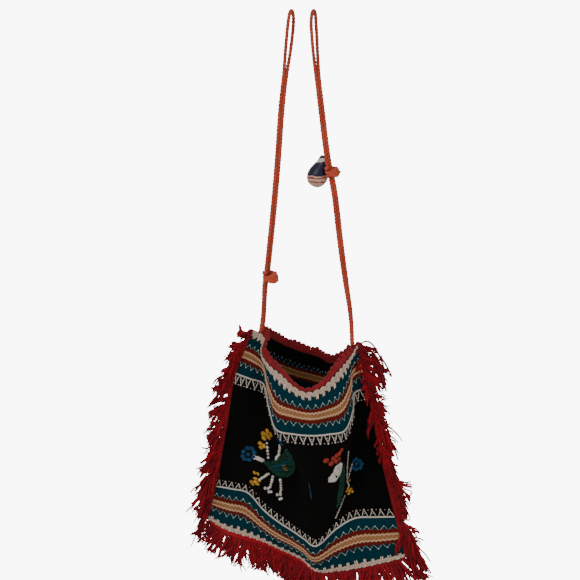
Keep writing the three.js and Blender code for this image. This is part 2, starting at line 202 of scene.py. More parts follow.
def noise(tree, **inputs):
    """Fine or coarse unevenness, fixed to the piece's own place."""
    place = added(tree, "TexCoord").outputs["Object"]
    return added(tree, "TexNoise", {"Vector": place, **inputs}).outputs["Fac"]


def relief(tree, height, strength, distance):
    inputs = {"Height": height, "Strength": strength, "Distance": distance}
    return added(tree, "Bump", inputs).outputs["Normal"]


def new_material(name):
    material = bpy.data.materials.new(name)
    material.use_nodes = True
    return material, material.node_tree, material.node_tree.nodes["Principled BSDF"]


def fibre_group():
    """Spun wool: fine fibres and soft lumps, as a colour between two and as a height."""
    group = bpy.data.node_groups.new("wool fibres", "ShaderNodeTree")
    for name, way, kind in (
        ("Light", "INPUT", "Color"),
        ("Dark", "INPUT", "Color"),
        ("Fibre", "INPUT", "Float"),
        ("Tint", "INPUT", "Float"),
        ("Colour", "OUTPUT", "Color"),
        ("Height", "OUTPUT", "Float"),
    ):
        group.interface.new_socket(name, in_out=way, socket_type="NodeSocket" + kind)
    given = group.nodes.new("NodeGroupInput").outputs
    fine = noise(group, Scale=given["Fibre"], Detail=5, Roughness=0.7, Distortion=1.5)
    lumps = noise(group, Scale=90)
    shade = maths(group, "MULTIPLY_ADD", fine, 0.75, given["Tint"])
    shade = maths(group, "MULTIPLY_ADD", lumps, 0.35, shade)
    inputs = {"Value": shade, "From Min": 0.35, "From Max": 1.35}
    share = added(group, "MapRange", inputs).outputs["Result"]
    inputs = {"Factor": share, "A": given["Dark"], "B": given["Light"]}
    mix = added(group, "Mix", inputs, data_type="RGBA").outputs["Result"]
    fill(group, group.nodes.new("NodeGroupOutput"), {"Colour": mix, "Height": fine})
    return group


wool_fibres = fibre_group()


def fibres(tree, light, dark, fibre, tint):
    """The wool group's colour and height for one material."""
    inputs = {"Light": (*light, 1), "Dark": (*dark, 1), "Fibre": fibre, "Tint": tint}
    wool = added(tree, "Group", node_tree=wool_fibres)
    fill(tree, wool, inputs)
    return wool.outputs["Colour"], wool.outputs["Height"]


def yarn(name, light, dark, fibre=1400, sheen=0.25):
    """Spun wool or floss in a shade between two, chosen strand by strand with the tint."""
    material, tree, surface = new_material(name)
    tint = added(tree, "Attribute", attribute_name="tint").outputs["Fac"]
    colour, height = fibres(tree, light, dark, fibre, tint)
    fill(tree, surface, {
        "Base Color": colour,
        "Roughness": 0.9,
        "Sheen Weight": sheen,
        "Specular IOR Level": 0.25,
        "Normal": relief(tree, height, 0.5, 0.0006),
    })
    return material


def level_frames(run, start):
    """Two directions across a run at each of its points, carried along it without twist."""
    ahead = unit(np.gradient(run, axis=0))
    across = [unit(np.cross(ahead[0], start))]
    for direction in ahead[1:]:
        across.append(unit(across[-1] - direction * (across[-1] @ direction)))
    across = np.array(across)
    return across, np.cross(ahead, across)


def spun_cord(name, run):
    """A cord of two plies: its section has two lobes, which turn once in each twist."""
    across, up = level_frames(run, (0, 1, 0.1))
    gap = np.linalg.norm(run[1] - run[0])
    sides = CORD_SIDES
    around = np.arange(sides) * 2 * pi / sides
    turn = np.arange(len(run)) * gap * 2 * pi / CORD_TWIST
    angle = around[None, :] + turn[:, None]
    ply = np.abs(np.cos(around))
    radius = CORD_SWELL * CORD_DIAMETER / 2 * (0.93 + 0.14 * ply)
    points = (
        run[:, None]
        + across[:, None] * (radius * np.cos(angle))[..., None]
        + up[:, None] * (radius * np.sin(angle))[..., None]
    ).reshape(-1, 3)
    faces = [
        (r * sides + s, r * sides + (s + 1) % sides,
         (r + 1) * sides + (s + 1) % sides, (r + 1) * sides + s)
        for r in range(len(run) - 1) for s in range(sides)
    ]
    last = (len(run) - 1) * sides
    faces.append(tuple(reversed(range(sides))))
    faces.append(tuple(range(last, last + sides)))
    # The tint holds painted shade: it is darker in the grooves between the two plies and lighter on
    # their crests.
    worn = 0.12 * np.sin(np.arange(len(run)) * gap * 95)[:, None]
    tint = 0.02 + 0.45 * ply**2 + worn
    return new_piece(name, points, faces, tint, orange_wool)


orange_wool = yarn("orange-red cord wool", (0.56, 0.085, 0.038), (0.24, 0.025, 0.014), sheen=0.05)
left_run = smooth_run(CORD_LEFT_ROUTE, CORD_STEP)
right_run = smooth_run(CORD_RIGHT_ROUTE, CORD_STEP)
cord_left = spun_cord("cord_left_spun", left_run)
cord_right = spun_cord("cord_right_spun", right_run)
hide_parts("cord_left")
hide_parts("cord_right")


# The knots: a short end of the same cord is wound round both strands and pulled tight, and its
# ends are left to fray to the viewer's right.
KNOT_LEFT_PLACE = np.array([-0.0432, 0.0006, -0.340])
KNOT_RIGHT_PLACE = np.array([0.0364, 0, -0.203])
WOUND_TURNS = 2.4
CROSSED_TURNS = 0.85
WINDING_WIDTH = 0.0040
FRAYED_ENDS = 26
FRAYED_WIDTH = 0.0013


def length_of_yarn(rings, sides):
    """One length of yarn, upright and one metre long, closed at both ends."""
    bpy.ops.mesh.primitive_circle_add(vertices=sides, radius=1, fill_type="NGON")
    bpy.ops.object.mode_set(mode="EDIT")
    for _ in range(rings - 1):
        bpy.ops.mesh.extrude_region_move(
            TRANSFORM_OT_translate={"value": (0, 0, 1 / (rings - 1))}
        )
    bpy.ops.mesh.select_all(action="SELECT")
    bpy.ops.mesh.normals_make_consistent(inside=False)
    bpy.ops.object.mode_set(mode="OBJECT")
    return taken(bpy.context.object)


def taken(pattern):
    """The points and faces of a modelled pattern, which then leaves the scene."""
    points = np.array([v.co for v in pattern.data.vertices])
    faces = [tuple(p.vertices) for p in pattern.data.polygons]
    bpy.data.objects.remove(pattern)
    return points, faces


def laid_along(pattern, runs, facing, width, flat=1.0):
    """Copies of a length of yarn, each bent along its own run of points."""
    points, faces = pattern
    runs = np.asarray(runs, float)
    count, steps = runs.shape[:2]
    facing = np.broadcast_to(np.asarray(facing, float), runs.shape)
    width = np.broadcast_to(np.asarray(width, float), (count, steps))
    place = points[:, 2] * (steps - 1)
    low = np.clip(place.astype(int), 0, steps - 2)
    part = (place - low)[None, :, None]

    def between(values):
        return values[:, low] * (1 - part) + values[:, low + 1] * part

    ahead = unit(np.gradient(runs, axis=1))
    across = unit(np.cross(ahead, facing))
    lift = np.cross(across, ahead)
    size = between(width[..., None]) / 2
    made = between(runs) + size * (
        between(across) * points[None, :, :1] + between(lift) * points[None, :, 1:2] * flat
    )
    return made, faces


def joined(batches):
    """The points and faces of many copies, joined, with a tint for each point."""
    all_points, all_faces, tints, base = [], [], [], 0
    for made, faces, tint in batches:
        count, size = made.shape[:2]
        corners = np.concatenate([np.array(f) for f in faces])
        starts = np.cumsum([0] + [len(f) for f in faces])
        moved = (corners[None, :] + base + np.arange(count)[:, None] * size).tolist()
        for row in moved:
            all_faces.extend(row[a:b] for a, b in zip(starts[:-1], starts[1:]))
        all_points.append(made.reshape(-1, 3))
        tints.append(np.repeat(np.broadcast_to(tint, (count,)), size))
        base += count * size
    return np.vstack(all_points), all_faces, np.concatenate(tints)


def yarn_piece(name, batches, material):
    points, faces, tint = joined(batches)
    return new_piece(name, points, faces, tint, material)


strand = length_of_yarn(7, 5)
coil = length_of_yarn(40, 8)


def knotted(name, centre, down, scale, seed):
    """Two and a half turns round the doubled cord, crossed by a third, with frayed ends."""
    draw = np.random.default_rng(seed)
    down = unit(np.array(down, float))
    right = unit(np.cross(down, (0, 1, 0)))
    front = np.cross(right, down)
    t = np.linspace(0, 1, 40)[:, None]
    turn = 2 * pi * WOUND_TURNS * t + 2.2
    wound = centre + scale * (
        right * (0.0052 * np.cos(turn) + 0.0012)
        - front * 0.0050 * np.sin(turn)
        + down * (0.0038 * (2 * t - 1) + 0.0010 * np.sin(1.7 * turn))
    )
    turn = 2 * pi * CROSSED_TURNS * t + 3.4
    crossed = centre + scale * (
        right * (0.0056 * np.cos(turn) + 0.0016)
        - front * (0.0064 * np.sin(turn) + 0.0003)
        + down * 0.0040 * np.sin(turn + 0.6)
    )
    facing = np.array([0.3, -0.2, 0.9])
    bands = laid_along(coil, np.stack([wound, crossed]), facing, WINDING_WIDTH * scale)
    count = FRAYED_ENDS
    root = centre + right * 0.0052 + draw.normal(0, 0.0012, (count, 3))
    way = draw.normal(0, 0.5, (count, 3)) + down * draw.uniform(-0.8, 0.5, (count, 1))
    way = unit(right + way)
    long = draw.uniform(0.003, 0.0065, (count, 1, 1)) * scale
    s = np.linspace(0, 1, 7)[None, :, None]
    ends = root[:, None] + way[:, None] * long * s + down * long * 0.35 * s**2
    frayed = laid_along(strand, ends, (0, 1, 0.2), FRAYED_WIDTH)
    batches = [(*bands, 0.3), (*frayed, draw.uniform(0.15, 0.6, count))]
    return yarn_piece(name, batches, orange_wool)


knot_left = knotted("knot_left_tied", KNOT_LEFT_PLACE, (0.09, 0, -1), 1.4, 3)
knot_right = knotted("knot_right_tied", KNOT_RIGHT_PLACE, (0.19, 0, -1), 1.25, 4)
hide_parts("knot_left")
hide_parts("knot_right")


# The charm: a small turned pendant, painted dark blue above and cream with thin red rings below,
# and varnished. It is tied in by its neck at the right knot, behind the cord.
CHARM_WIDTH = 0.028
CHARM_HEIGHT = 0.042
CHARM_TILT = radians(25)
CHARM_PLACE = (0.0225, 0.0145, -0.205)
CHARM_EDGE = 0.0008
TIE_TURNS = 2
TIE_RADIUS = 0.0066
TIE_WIDTH = 0.0018
# Shares of the height up from its foot, and of the width out from its axis
CHARM_PROFILE = [
    (0, 0),
    (0.02, 0.2),
    (0.1, 0.38),
    (0.26, 0.49),
    (0.42, 0.5),
    (0.57, 0.44),
    (0.7, 0.36),
    (0.8, 0.31),
    (0.93, 0.31),
    (1, 0.25),
    (1, 0),
]


def turned(name, profile, width, height):
    """A body turned on the lathe from its profile, shares of height and width."""
    half = [(radius * width, 0, (rise - 0.5) * height) for rise, radius in profile]
    mesh = bpy.data.meshes.new(name)
    mesh.from_pydata(half, [(i, i + 1) for i in range(len(half) - 1)], [])
    body = bpy.data.objects.new(name, mesh)
    bpy.context.scene.collection.objects.link(body)
    bpy.ops.object.select_all(action="DESELECT")
    bpy.context.view_layer.objects.active = body
    body.select_set(True)
    bpy.ops.object.mode_set(mode="EDIT")
    bpy.ops.mesh.select_all(action="SELECT")
    bpy.ops.mesh.spin(steps=32, angle=2 * pi, center=(0, 0, 0), axis=(0, 0, 1))
    bpy.ops.mesh.select_all(action="SELECT")
    bpy.ops.mesh.remove_doubles(threshold=1e-5)
    bpy.ops.mesh.normals_make_consistent(inside=False)
    bpy.ops.object.mode_set(mode="OBJECT")
    bevel = body.modifiers.new("soft edge", "BEVEL")
    bevel.width = CHARM_EDGE
    bevel.segments = 2
    bevel.limit_method = "ANGLE"
    bevel.angle_limit = radians(60)
    bpy.ops.object.modifier_apply(modifier=bevel.name)
    smooth = body.modifiers.new("smooth", "SUBSURF")
    smooth.levels = smooth.render_levels = 1
    bpy.ops.object.modifier_apply(modifier=smooth.name)
    bpy.ops.object.shade_smooth()
    return body


def stepped(tree, value, stops):
    """Flat bands of colour, each from its own place up to the next one's."""
    bands = added(tree, "ValToRGB", {"Fac": value})
    ramp = bands.color_ramp
    ramp.interpolation = "CONSTANT"
    for element, (place, colour) in zip(ramp.elements, stops):
        element.position, element.color = place, (*colour, 1)
    for place, colour in stops[2:]:
        ramp.elements.new(place).color = (*colour, 1)
    return bands.outputs["Color"]


def painted():
    """Brushed paint in rings up the pendant's own height, ragged at the borders, under varnish."""
    cream, red = (0.46, 0.28, 0.20), (0.22, 0.02, 0.015)
    material, tree, surface = new_material("painted and varnished")
    height = added(tree, "Attribute", attribute_name="up_the_charm").outputs["Fac"]
    brush = noise(tree, Scale=130, Detail=4)
    inputs = {"Value": brush, "To Min": 0.25, "To Max": 0.5}
    fill(tree, surface, {
        "Base Color": stepped(tree, maths(tree, "MULTIPLY_ADD", brush, 0.16, height), [
            (0.0, (0.02, 0.05, 0.02)),
            (0.13, cream),
            (0.25, red),
            (0.29, cream),
            (0.39, red),
            (0.43, cream),
            (0.47, (0.003, 0.004, 0.020)),
            (0.88, (0.50, 0.44, 0.38)),
            (1.0, (0.004, 0.004, 0.006)),
        ]),
        "Coat Weight": 0.15,
        "Coat Roughness": 0.25,
        "Specular IOR Level": 0.2,
        "Roughness": added(tree, "MapRange", inputs).outputs["Result"],
        "Normal": relief(tree, brush, 0.25, 0.0004),
    })
    return material


charm = turned("charm_painted", CHARM_PROFILE, CHARM_WIDTH, CHARM_HEIGHT)
rise = charm.data.attributes.new("up_the_charm", "FLOAT", "POINT")
charm_points = np.array([v.co for v in charm.data.vertices])
heights = charm_points[:, 2] * cos(CHARM_TILT) - charm_points[:, 0] * sin(CHARM_TILT)
heights = (heights - heights.min()) / np.ptp(heights)
rise.data.foreach_set("value", heights.astype(np.float32))
charm.data.materials.append(painted())
charm.rotation_euler = (0, CHARM_TILT, 0)
charm.location = CHARM_PLACE
bpy.ops.object.transform_apply(location=True, rotation=True, scale=True)
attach(charm, "root")
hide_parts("charm")

tie_axis = np.array([sin(CHARM_TILT), 0, cos(CHARM_TILT)])
tie_side = np.cross((0, 1, 0), tie_axis)
tie_turn = np.linspace(0, 2 * pi * TIE_TURNS, 40)[:, None]
neck = np.array(CHARM_PLACE) + 0.36 * CHARM_HEIGHT * tie_axis
tie_run = (
    neck
    + TIE_RADIUS * (tie_side * np.cos(tie_turn) + np.array([0, 1, 0]) * np.sin(tie_turn))
    + tie_axis * 0.0007 * (tie_turn / pi - TIE_TURNS)
)
tie = laid_along(coil, tie_run[None], tie_axis, TIE_WIDTH)
charm_tie = yarn_piece("charm_tie", [(*tie, 0.2)], orange_wool)


# The bag's two walls: squares of black felted wool, 28 cm each way, with teal and dark red bands
# woven in along the mouth and the hem. They are sewn together along both sides and the hem.
PANEL_SIDE = 280
HUNG_WIDTH = 260
FOLD_DEPTH = 80
MOUTH_DROP = 415
CLOTH = 2.0
HELD_APART = 1.15
# Where the section tables cross the cloth, as shares of the way from the rim to the hem
LEVELS = np.array([0, 0.21, 0.5, 0.79, 1])
STEP = 0.004
SEAM_REACH = 0.02
BAND_WAVES = 52
WEAVE_THREADS = 190
# Each row is one fold line where it crosses a level: its share of the cloth's width, then its
# place as shares of the hung width across, of the fold depth out, and of the height down.
FRONT_RIM = [
    (0.0, -0.25, 0.0, -0.015),
    (0.1, -0.19, -0.08, 0.035),
    (0.18, -0.2, 0.08, 0.085),
    (0.28, -0.165, 0.33, 0.125),
    (0.38, -0.1, 0.53, 0.162),
    (0.46, -0.05, 0.63, 0.202),
    (0.54, 0.02, 0.7, 0.23),
    (0.62, 0.095, 0.67, 0.208),
    (0.72, 0.16, 0.53, 0.158),
    (0.82, 0.21, 0.33, 0.12),
    (0.92, 0.25, 0.12, 0.085),
    (1.0, 0.275, 0.0, 0.045),
]
FRONT_BAND = [
    (0.0, -0.33, -0.15, 0.196),
    (0.1, -0.26, -0.07, 0.216),
    (0.18, -0.19, -0.1, 0.245),
    (0.28, -0.16, 0.28, 0.325),
    (0.38, -0.12, 0.6, 0.408),
    (0.46, -0.04, 0.71, 0.418),
    (0.54, 0.05, 0.76, 0.422),
    (0.62, 0.13, 0.72, 0.419),
    (0.72, 0.21, 0.55, 0.413),
    (0.82, 0.25, 0.28, 0.341),
    (0.92, 0.26, 0.05, 0.278),
    (1.0, 0.33, -0.02, 0.262),
]
FRONT_MIDDLE = [
    (0.0, -0.39, -0.37, 0.506),
    (0.1, -0.3, -0.23, 0.535),
    (0.18, -0.22, -0.1, 0.575),
    (0.28, -0.12, -0.02, 0.635),
    (0.38, -0.02, 0.05, 0.67),
    (0.46, 0.01, 0.4, 0.687),
    (0.54, 0.06, 0.62, 0.694),
    (0.62, 0.15, 0.62, 0.684),
    (0.72, 0.2, 0.3, 0.682),
    (0.82, 0.25, 0.0, 0.66),
    (0.92, 0.32, 0.03, 0.61),
    (1.0, 0.4, 0.06, 0.576),
]
FRONT_LOWER = [
    (0.0, -0.45, -0.6, 0.815),
    (0.1, -0.36, -0.42, 0.812),
    (0.18, -0.28, -0.28, 0.815),
    (0.28, -0.19, -0.03, 0.88),
    (0.38, -0.11, 0.15, 0.922),
    (0.46, -0.04, 0.28, 0.95),
    (0.54, 0.02, 0.45, 0.972),
    (0.62, 0.07, 0.53, 0.996),
    (0.72, 0.17, 0.4, 0.93),
    (0.82, 0.27, 0.3, 0.888),
    (0.92, 0.38, 0.27, 0.885),
    (1.0, 0.48, 0.2, 0.891),
]
HEM = [
    (0.0, -0.49, -0.95, 1.008),
    (0.1, -0.39, -0.63, 1.035),
    (0.18, -0.31, -0.48, 1.045),
    (0.28, -0.21, -0.43, 1.067),
    (0.38, -0.12, -0.36, 1.098),
    (0.46, -0.05, -0.27, 1.117),
    (0.54, 0.01, -0.12, 1.13),
    (0.62, 0.08, 0.03, 1.17),
    (0.72, 0.19, 0.15, 1.158),
    (0.82, 0.31, 0.25, 1.13),
    (0.92, 0.42, 0.27, 1.103),
    (1.0, 0.53, 0.2, 1.083),
]
BACK_RIM = [
    (0.0, -0.25, 0.0, -0.015),
    (0.15, -0.17, -0.42, 0.047),
    (0.3, -0.1, -0.75, 0.108),
    (0.45, -0.01, -0.9, 0.153),
    (0.6, 0.09, -0.88, 0.182),
    (0.75, 0.16, -0.65, 0.195),
    (0.88, 0.23, -0.3, 0.14),
    (1.0, 0.275, 0.0, 0.045),
]
BACK_BAND = [
    (0.0, -0.33, -0.15, 0.196),
    (0.15, -0.22, -0.52, 0.27),
    (0.3, -0.12, -0.74, 0.33),
    (0.45, -0.02, -0.85, 0.37),
    (0.6, 0.09, -0.84, 0.39),
    (0.75, 0.19, -0.66, 0.39),
    (0.88, 0.27, -0.36, 0.34),
    (1.0, 0.33, -0.02, 0.262),
]
BACK_MIDDLE = [
    (0.0, -0.39, -0.37, 0.506),
    (0.15, -0.29, -0.68, 0.55),
    (0.3, -0.16, -0.72, 0.61),
    (0.45, -0.03, -0.78, 0.65),
    (0.6, 0.1, -0.76, 0.67),
    (0.75, 0.22, -0.62, 0.67),
    (0.88, 0.32, -0.38, 0.64),
    (1.0, 0.4, 0.06, 0.576),
]
BACK_LOWER = [
    (0.0, -0.45, -0.6, 0.815),
    (0.15, -0.34, -0.8, 0.83),
    (0.3, -0.2, -0.82, 0.87),
    (0.45, -0.06, -0.78, 0.91),
    (0.6, 0.07, -0.6, 0.94),
    (0.75, 0.21, -0.38, 0.94),
    (0.88, 0.35, -0.16, 0.91),
    (1.0, 0.48, 0.2, 0.891),
]
FRONT = [np.array(rows) for rows in (FRONT_RIM, FRONT_BAND, FRONT_MIDDLE, FRONT_LOWER, HEM)]
BACK = [np.array(rows) for rows in (BACK_RIM, BACK_BAND, BACK_MIDDLE, BACK_LOWER, HEM)]


def slopes(knots, values):
    """The rise at each knot of a smooth curve through all of them."""
    width = np.diff(knots).reshape(-1, *([1] * (values.ndim - 1)))
    rise = np.diff(values, axis=0) / width
    middle = (rise[:-1] * width[1:] + rise[1:] * width[:-1]) / (width[:-1] + width[1:])
    return np.concatenate([[2 * rise[0] - middle[0]], middle, [2 * rise[-1] - middle[-1]]])


def smooth_through(knots, values, t, pick):
    """Values at t on smooth curves through the knots, pick taking each one's own column."""
    slope = slopes(knots, values)
    i = np.clip(np.searchsorted(knots, t) - 1, 0, len(knots) - 2)
    width = (knots[i + 1] - knots[i])[:, None]
    s = ((t - knots[i]) / width[:, 0])[:, None]
    return (
        pick(values, i) * (1 + 2 * s) * (1 - s) ** 2
        + pick(values, i + 1) * (3 - 2 * s) * s**2
        + pick(slope, i) * width * s * (1 - s) ** 2
        - pick(slope, i + 1) * width * s**2 * (1 - s)
    )


def drape(levels, u, v):
    """The cloth's middle in millimetres, u from the left seam and v from the rim, as shares."""
    crossings = []
    for rows in levels:
        places = np.stack(
            [rows[:, 1] * HUNG_WIDTH, -rows[:, 2] * FOLD_DEPTH,
             -MOUTH_DROP - rows[:, 3] * PANEL_SIDE], axis=1
        )
        crossings.append(smooth_through(rows[:, 0], places, u, lambda a, i: a[i]))
    every = np.arange(len(u))
    return smooth_through(LEVELS, np.stack(crossings), v, lambda a, i: a[i, every])


def level_unit(vectors):
    return unit(vectors * [1, 1, 0])


def seam_side(end, v):
    """The level way from the back wall to the front one at a side seam."""
    at_end, inside = np.full_like(v, end), np.full_like(v, STEP if end == 0 else 1 - STEP)
    inward = level_unit(
        level_unit(drape(FRONT, inside, v) - drape(FRONT, at_end, v))
        + level_unit(drape(BACK, inside, v) - drape(BACK, at_end, v))
    )
    turn = 1 if end == 0 else -1
    return np.stack([inward[:, 1] * turn, -inward[:, 0] * turn, 0 * v], axis=1)


def hem_side(u):
    """The level way from the back wall to the front one, along the hem."""
    hem = np.ones_like(u)
    along = level_unit(
        drape(FRONT, np.minimum(u + STEP, 1), hem) - drape(FRONT, np.maximum(u - STEP, 0), hem)
    )
    return np.stack([along[:, 1], -along[:, 0], 0 * u], axis=1)


def cloth_middle(levels, u, v):
    """The middle of one wall's cloth, held off the other wall's where they meet."""
    apart = (
        seam_side(0, v) / (u + SEAM_REACH)[:, None]
        + seam_side(1, v) / (1 - u + SEAM_REACH)[:, None]
        + hem_side(u) / (1 - v + SEAM_REACH)[:, None]
    )
    return drape(levels, u, v) + unit(apart) * (HELD_APART if levels is FRONT else -HELD_APART)


def outward(levels, u, v):
    """The way out of the bag at a place on one wall."""
    along = cloth_middle(levels, np.minimum(u + STEP, 1), v)
    along = along - cloth_middle(levels, np.maximum(u - STEP, 0), v)
    down = cloth_middle(levels, u, np.minimum(v + STEP, 1))
    down = down - cloth_middle(levels, u, np.maximum(v - STEP, 0))
    return unit(np.cross(along, down)) * (-1 if levels is FRONT else 1)


def on_cloth(levels, across, down, lift):
    """Points in metres, from millimetres across and down the flat cloth and out of its face."""
    across, down, lift = np.broadcast_arrays(across, down, lift)
    u = np.clip(across.ravel() / PANEL_SIDE, 0, 1)
    v = np.clip(down.ravel() / PANEL_SIDE, 0, 1)
    away = outward(levels, u, v)
    points = cloth_middle(levels, u, v) + away * (CLOTH / 2 + lift.ravel())[:, None]
    return points.reshape(*across.shape, 3) / 1000, away.reshape(*across.shape, 3)


def soft_waves(across, down, seed):
    """Small uneven rises of hand-felted cloth, in millimetres."""
    draw = np.random.default_rng(seed)
    total = np.zeros_like(across)
    for size, height in ((46, 0.5), (23, 0.28), (11, 0.13)):
        for _ in range(4):
            way = draw.uniform(0, 2 * pi)
            wave = (across * cos(way) + down * sin(way)) * 2 * pi / size + draw.uniform(0, 2 * pi)
            total += height / 2 * np.sin(wave)
    return total


def banded_felt(name, stops):
    """Black felt with its woven bands, by the distance from the nearer of the mouth and hem."""
    material, tree, surface = new_material(name)
    flat = added(tree, "UVMap", uv_map="flat_cloth").outputs["UV"]
    across, down, _ = added(tree, "SeparateXYZ", {"Vector": flat}).outputs
    edge = maths(tree, "MINIMUM", down, maths(tree, "SUBTRACT", 1.0, down))
    wave = maths(tree, "SINE", maths(tree, "MULTIPLY", across, 2 * pi * BAND_WAVES))
    ragged = maths(tree, "SUBTRACT", noise(tree, Scale=210, Detail=4), 0.5)
    shifted = maths(tree, "MULTIPLY_ADD", wave, 0.0030, edge)
    shifted = maths(tree, "MULTIPLY_ADD", ragged, 0.010, shifted)
    half = PANEL_SIDE / 2
    stops = [(distance / half, colour) for distance, colour in stops]
    bands = stepped(tree, maths(tree, "MULTIPLY", shifted, 2.0), stops)
    shade, height = fibres(tree, (1.35, 1.35, 1.35), (0.55, 0.55, 0.55), 900, 0.3)
    inputs = {"Factor": 1, "A": bands, "B": shade}
    tinted = added(tree, "Mix", inputs, data_type="RGBA", blend_type="MULTIPLY").outputs["Result"]
    warp, weft = [
        maths(tree, "SINE", maths(tree, "MULTIPLY", way, 2 * pi * WEAVE_THREADS))
        for way in (across, down)
    ]
    weave = maths(tree, "MULTIPLY_ADD", height, 3.0, maths(tree, "MULTIPLY", warp, weft))
    fill(tree, surface, {
        "Base Color": tinted,
        "Roughness": 0.95,
        "Specular IOR Level": 0.06,
        "Normal": relief(tree, weave, 0.6, 0.0003),
    })
    return material


def wall(name, levels, steps, seed, outside, inside):
    """One wall of the bag: a grid shaped to the hanging cloth, given its thickness, softened."""
    bpy.ops.object.select_all(action="DESELECT")
    bpy.ops.mesh.primitive_grid_add(x_subdivisions=steps, y_subdivisions=steps, size=1)
    piece = bpy.context.object
    piece.name = piece.data.name = name
    flat = np.array([v.co for v in piece.data.vertices])
    across, down = (flat[:, 0] + 0.5) * PANEL_SIDE, (0.5 - flat[:, 1]) * PANEL_SIDE
    calm = np.sin(pi * across / PANEL_SIDE) * np.sin(pi * down / PANEL_SIDE)
    lift = -CLOTH / 2 + soft_waves(across, down, seed) * calm
    points, _ = on_cloth(levels, across, down, lift)
    piece.data.vertices.foreach_set("co", points.astype(np.float32).ravel())
    layer = piece.data.uv_layers.active
    layer.name = "flat_cloth"
    corners = np.zeros(len(piece.data.loops), np.int32)
    piece.data.loops.foreach_get("vertex_index", corners)
    uv = np.stack([across, down], axis=1)[corners] / PANEL_SIDE
    layer.data.foreach_set("uv", uv.astype(np.float32).ravel())
    if levels is FRONT:
        piece.data.flip_normals()
    thick = piece.modifiers.new("felt", "SOLIDIFY")
    thick.thickness = CLOTH / 1000
    thick.offset = 0
    thick.use_even_offset = False
    thick.material_offset = 1
    thick.material_offset_rim = 1
    piece.data.materials.append(inside)
    piece.data.materials.append(outside)
    bpy.ops.object.modifier_apply(modifier=thick.name)
    bpy.ops.object.shade_smooth()
    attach(piece, "root")
    return piece


TEAL = (0.0014, 0.025, 0.037)
DARK_RED = (0.105, 0.008, 0.005)
TAN = (0.29, 0.130, 0.054)
BLACK = (0.0022, 0.0019, 0.0016)
# The inside colours are darker copies of the outside ones: painted shade for the shadow inside the bag.
# The inside's band places are its own.
SHADED_INNER_TEAL = (0.0014, 0.014, 0.026)
SHADED_INNER_RED = (0.085, 0.008, 0.004)
SHADED_INNER_TAN = (0.24, 0.105, 0.035)
felt = banded_felt("banded black felt", [
    (0, TEAL), (24, DARK_RED), (28.5, TAN), (38.5, DARK_RED), (44, TEAL), (60, BLACK)
])
felt_inside_painted_shade = banded_felt("inside of the felt with painted shade", [
    (0, BLACK), (18, SHADED_INNER_TEAL), (22, SHADED_INNER_RED), (26, SHADED_INNER_TAN), (34.5, SHADED_INNER_RED),
    (38, SHADED_INNER_TEAL), (54, BLACK)
])
front_wall = wall("front_wall", FRONT, 168, 11, felt, felt_inside_painted_shade)
back_wall = wall("back_wall", BACK, 128, 12, felt, felt_inside_painted_shade)
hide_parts("front_panel")
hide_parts("back_panel")


# The couched cords and stitches of both bands: cream braid in two waved cords along the red, a
# white cord at the black, rows of white zigzags with knots, and pale stitches on the teal.
ZIGZAGS = 27
PITCH = PANEL_SIDE / ZIGZAGS
# Distances from the mouth or the hem in millimetres
BRAID_AT = (30.0, 37.2)
INNER_THREADS_AT = (27.2, 33.4)
WHITE_CORD_AT = 61.2
ZIGZAG_AT = 62.4
# Where each teal row's stitches start and where they meet
TEAL_ROWS = ((24.2, 19.4), (43.8, 49.0))
# How far the white zigzags reach beyond ZIGZAG_AT, and how thick their yarn is
ZIGZAG_SIZES = {"mouth": (10.2, 1.7), "hem": (7.6, 1.4)}
pattern_stitch = length_of_yarn(5, 6)
white_wool = yarn("white embroidery wool", (0.52, 0.46, 0.40), (0.20, 0.17, 0.14), 1800, 0.1)
cream_wool = yarn("cream braid wool", (0.55, 0.33, 0.19), (0.22, 0.11, 0.05), 1800, 0.1)
pale_floss = yarn("pale green-grey floss", (0.40, 0.46, 0.38), (0.10, 0.13, 0.10), 1800, 0.1)


def knot_bead():
    """A French knot: a small round of yarn that sits flat on the cloth."""
    bpy.ops.mesh.primitive_ico_sphere_add(subdivisions=2, radius=1)
    bpy.ops.transform.resize(value=(1, 1, 0.62))
    bpy.ops.object.transform_apply(scale=True)
    return taken(bpy.context.object)


bead = knot_bead()


def between_ends(ends, share):
    """Places at each share of the way from a stitch's first end to its second."""
    first, second = ends[:, :1], ends[:, 1:]
    return [first[..., k] + (second[..., k] - first[..., k]) * share for k in (0, 1)]


def stitches(levels, ends, width, arch=0.6, tip=0.45, face=1):
    """Straight stitches between pairs of places in cloth millimetres, rising out of the felt."""
    s = np.linspace(0, 1, 5)
    across, down = between_ends(np.asarray(ends, float), s)
    lift = arch * np.sin(pi * s) ** 0.7 + 0.1
    runs, facing = on_cloth(levels, across, down, lift if face > 0 else -CLOTH - lift)
    shape = np.array([tip, 0.9, 1, 0.9, tip])
    width = np.broadcast_to(np.asarray(width, float), (len(ends),))[:, None] * shape / 1000
    return laid_along(pattern_stitch, runs, facing, width, 0.62)


def knots(levels, places, width):
    """French knots at places in cloth millimetres."""
    places = np.asarray(places, float)
    points, faces = bead
    centre, away = on_cloth(levels, places[:, 0], places[:, 1], 0.35 * np.asarray(width, float))
    side = unit(np.cross(away, (0.2, 0.1, 1)))
    other = np.cross(away, side)
    half = np.broadcast_to(np.asarray(width, float), (len(places),))[:, None, None] / 2000
    made = centre[:, None] + half * (
        side[:, None] * points[None, :, :1]
        + other[:, None] * points[None, :, 1:2]
        + away[:, None] * points[None, :, 2:]
    )
    return made, faces


def couched(levels, across, down, width, lift=0.5, flat=0.75):
    """One long cord laid on the cloth along a run of places."""
    runs, facing = on_cloth(levels, across, down, lift)
    return laid_along(length_of_yarn(len(across), 6), runs[None], facing[None], width / 1000, flat)


def from_edge(edge, distance):
    """Cloth millimetres down, at a distance from the mouth or from the hem."""
    return distance if edge == "mouth" else PANEL_SIDE - distance


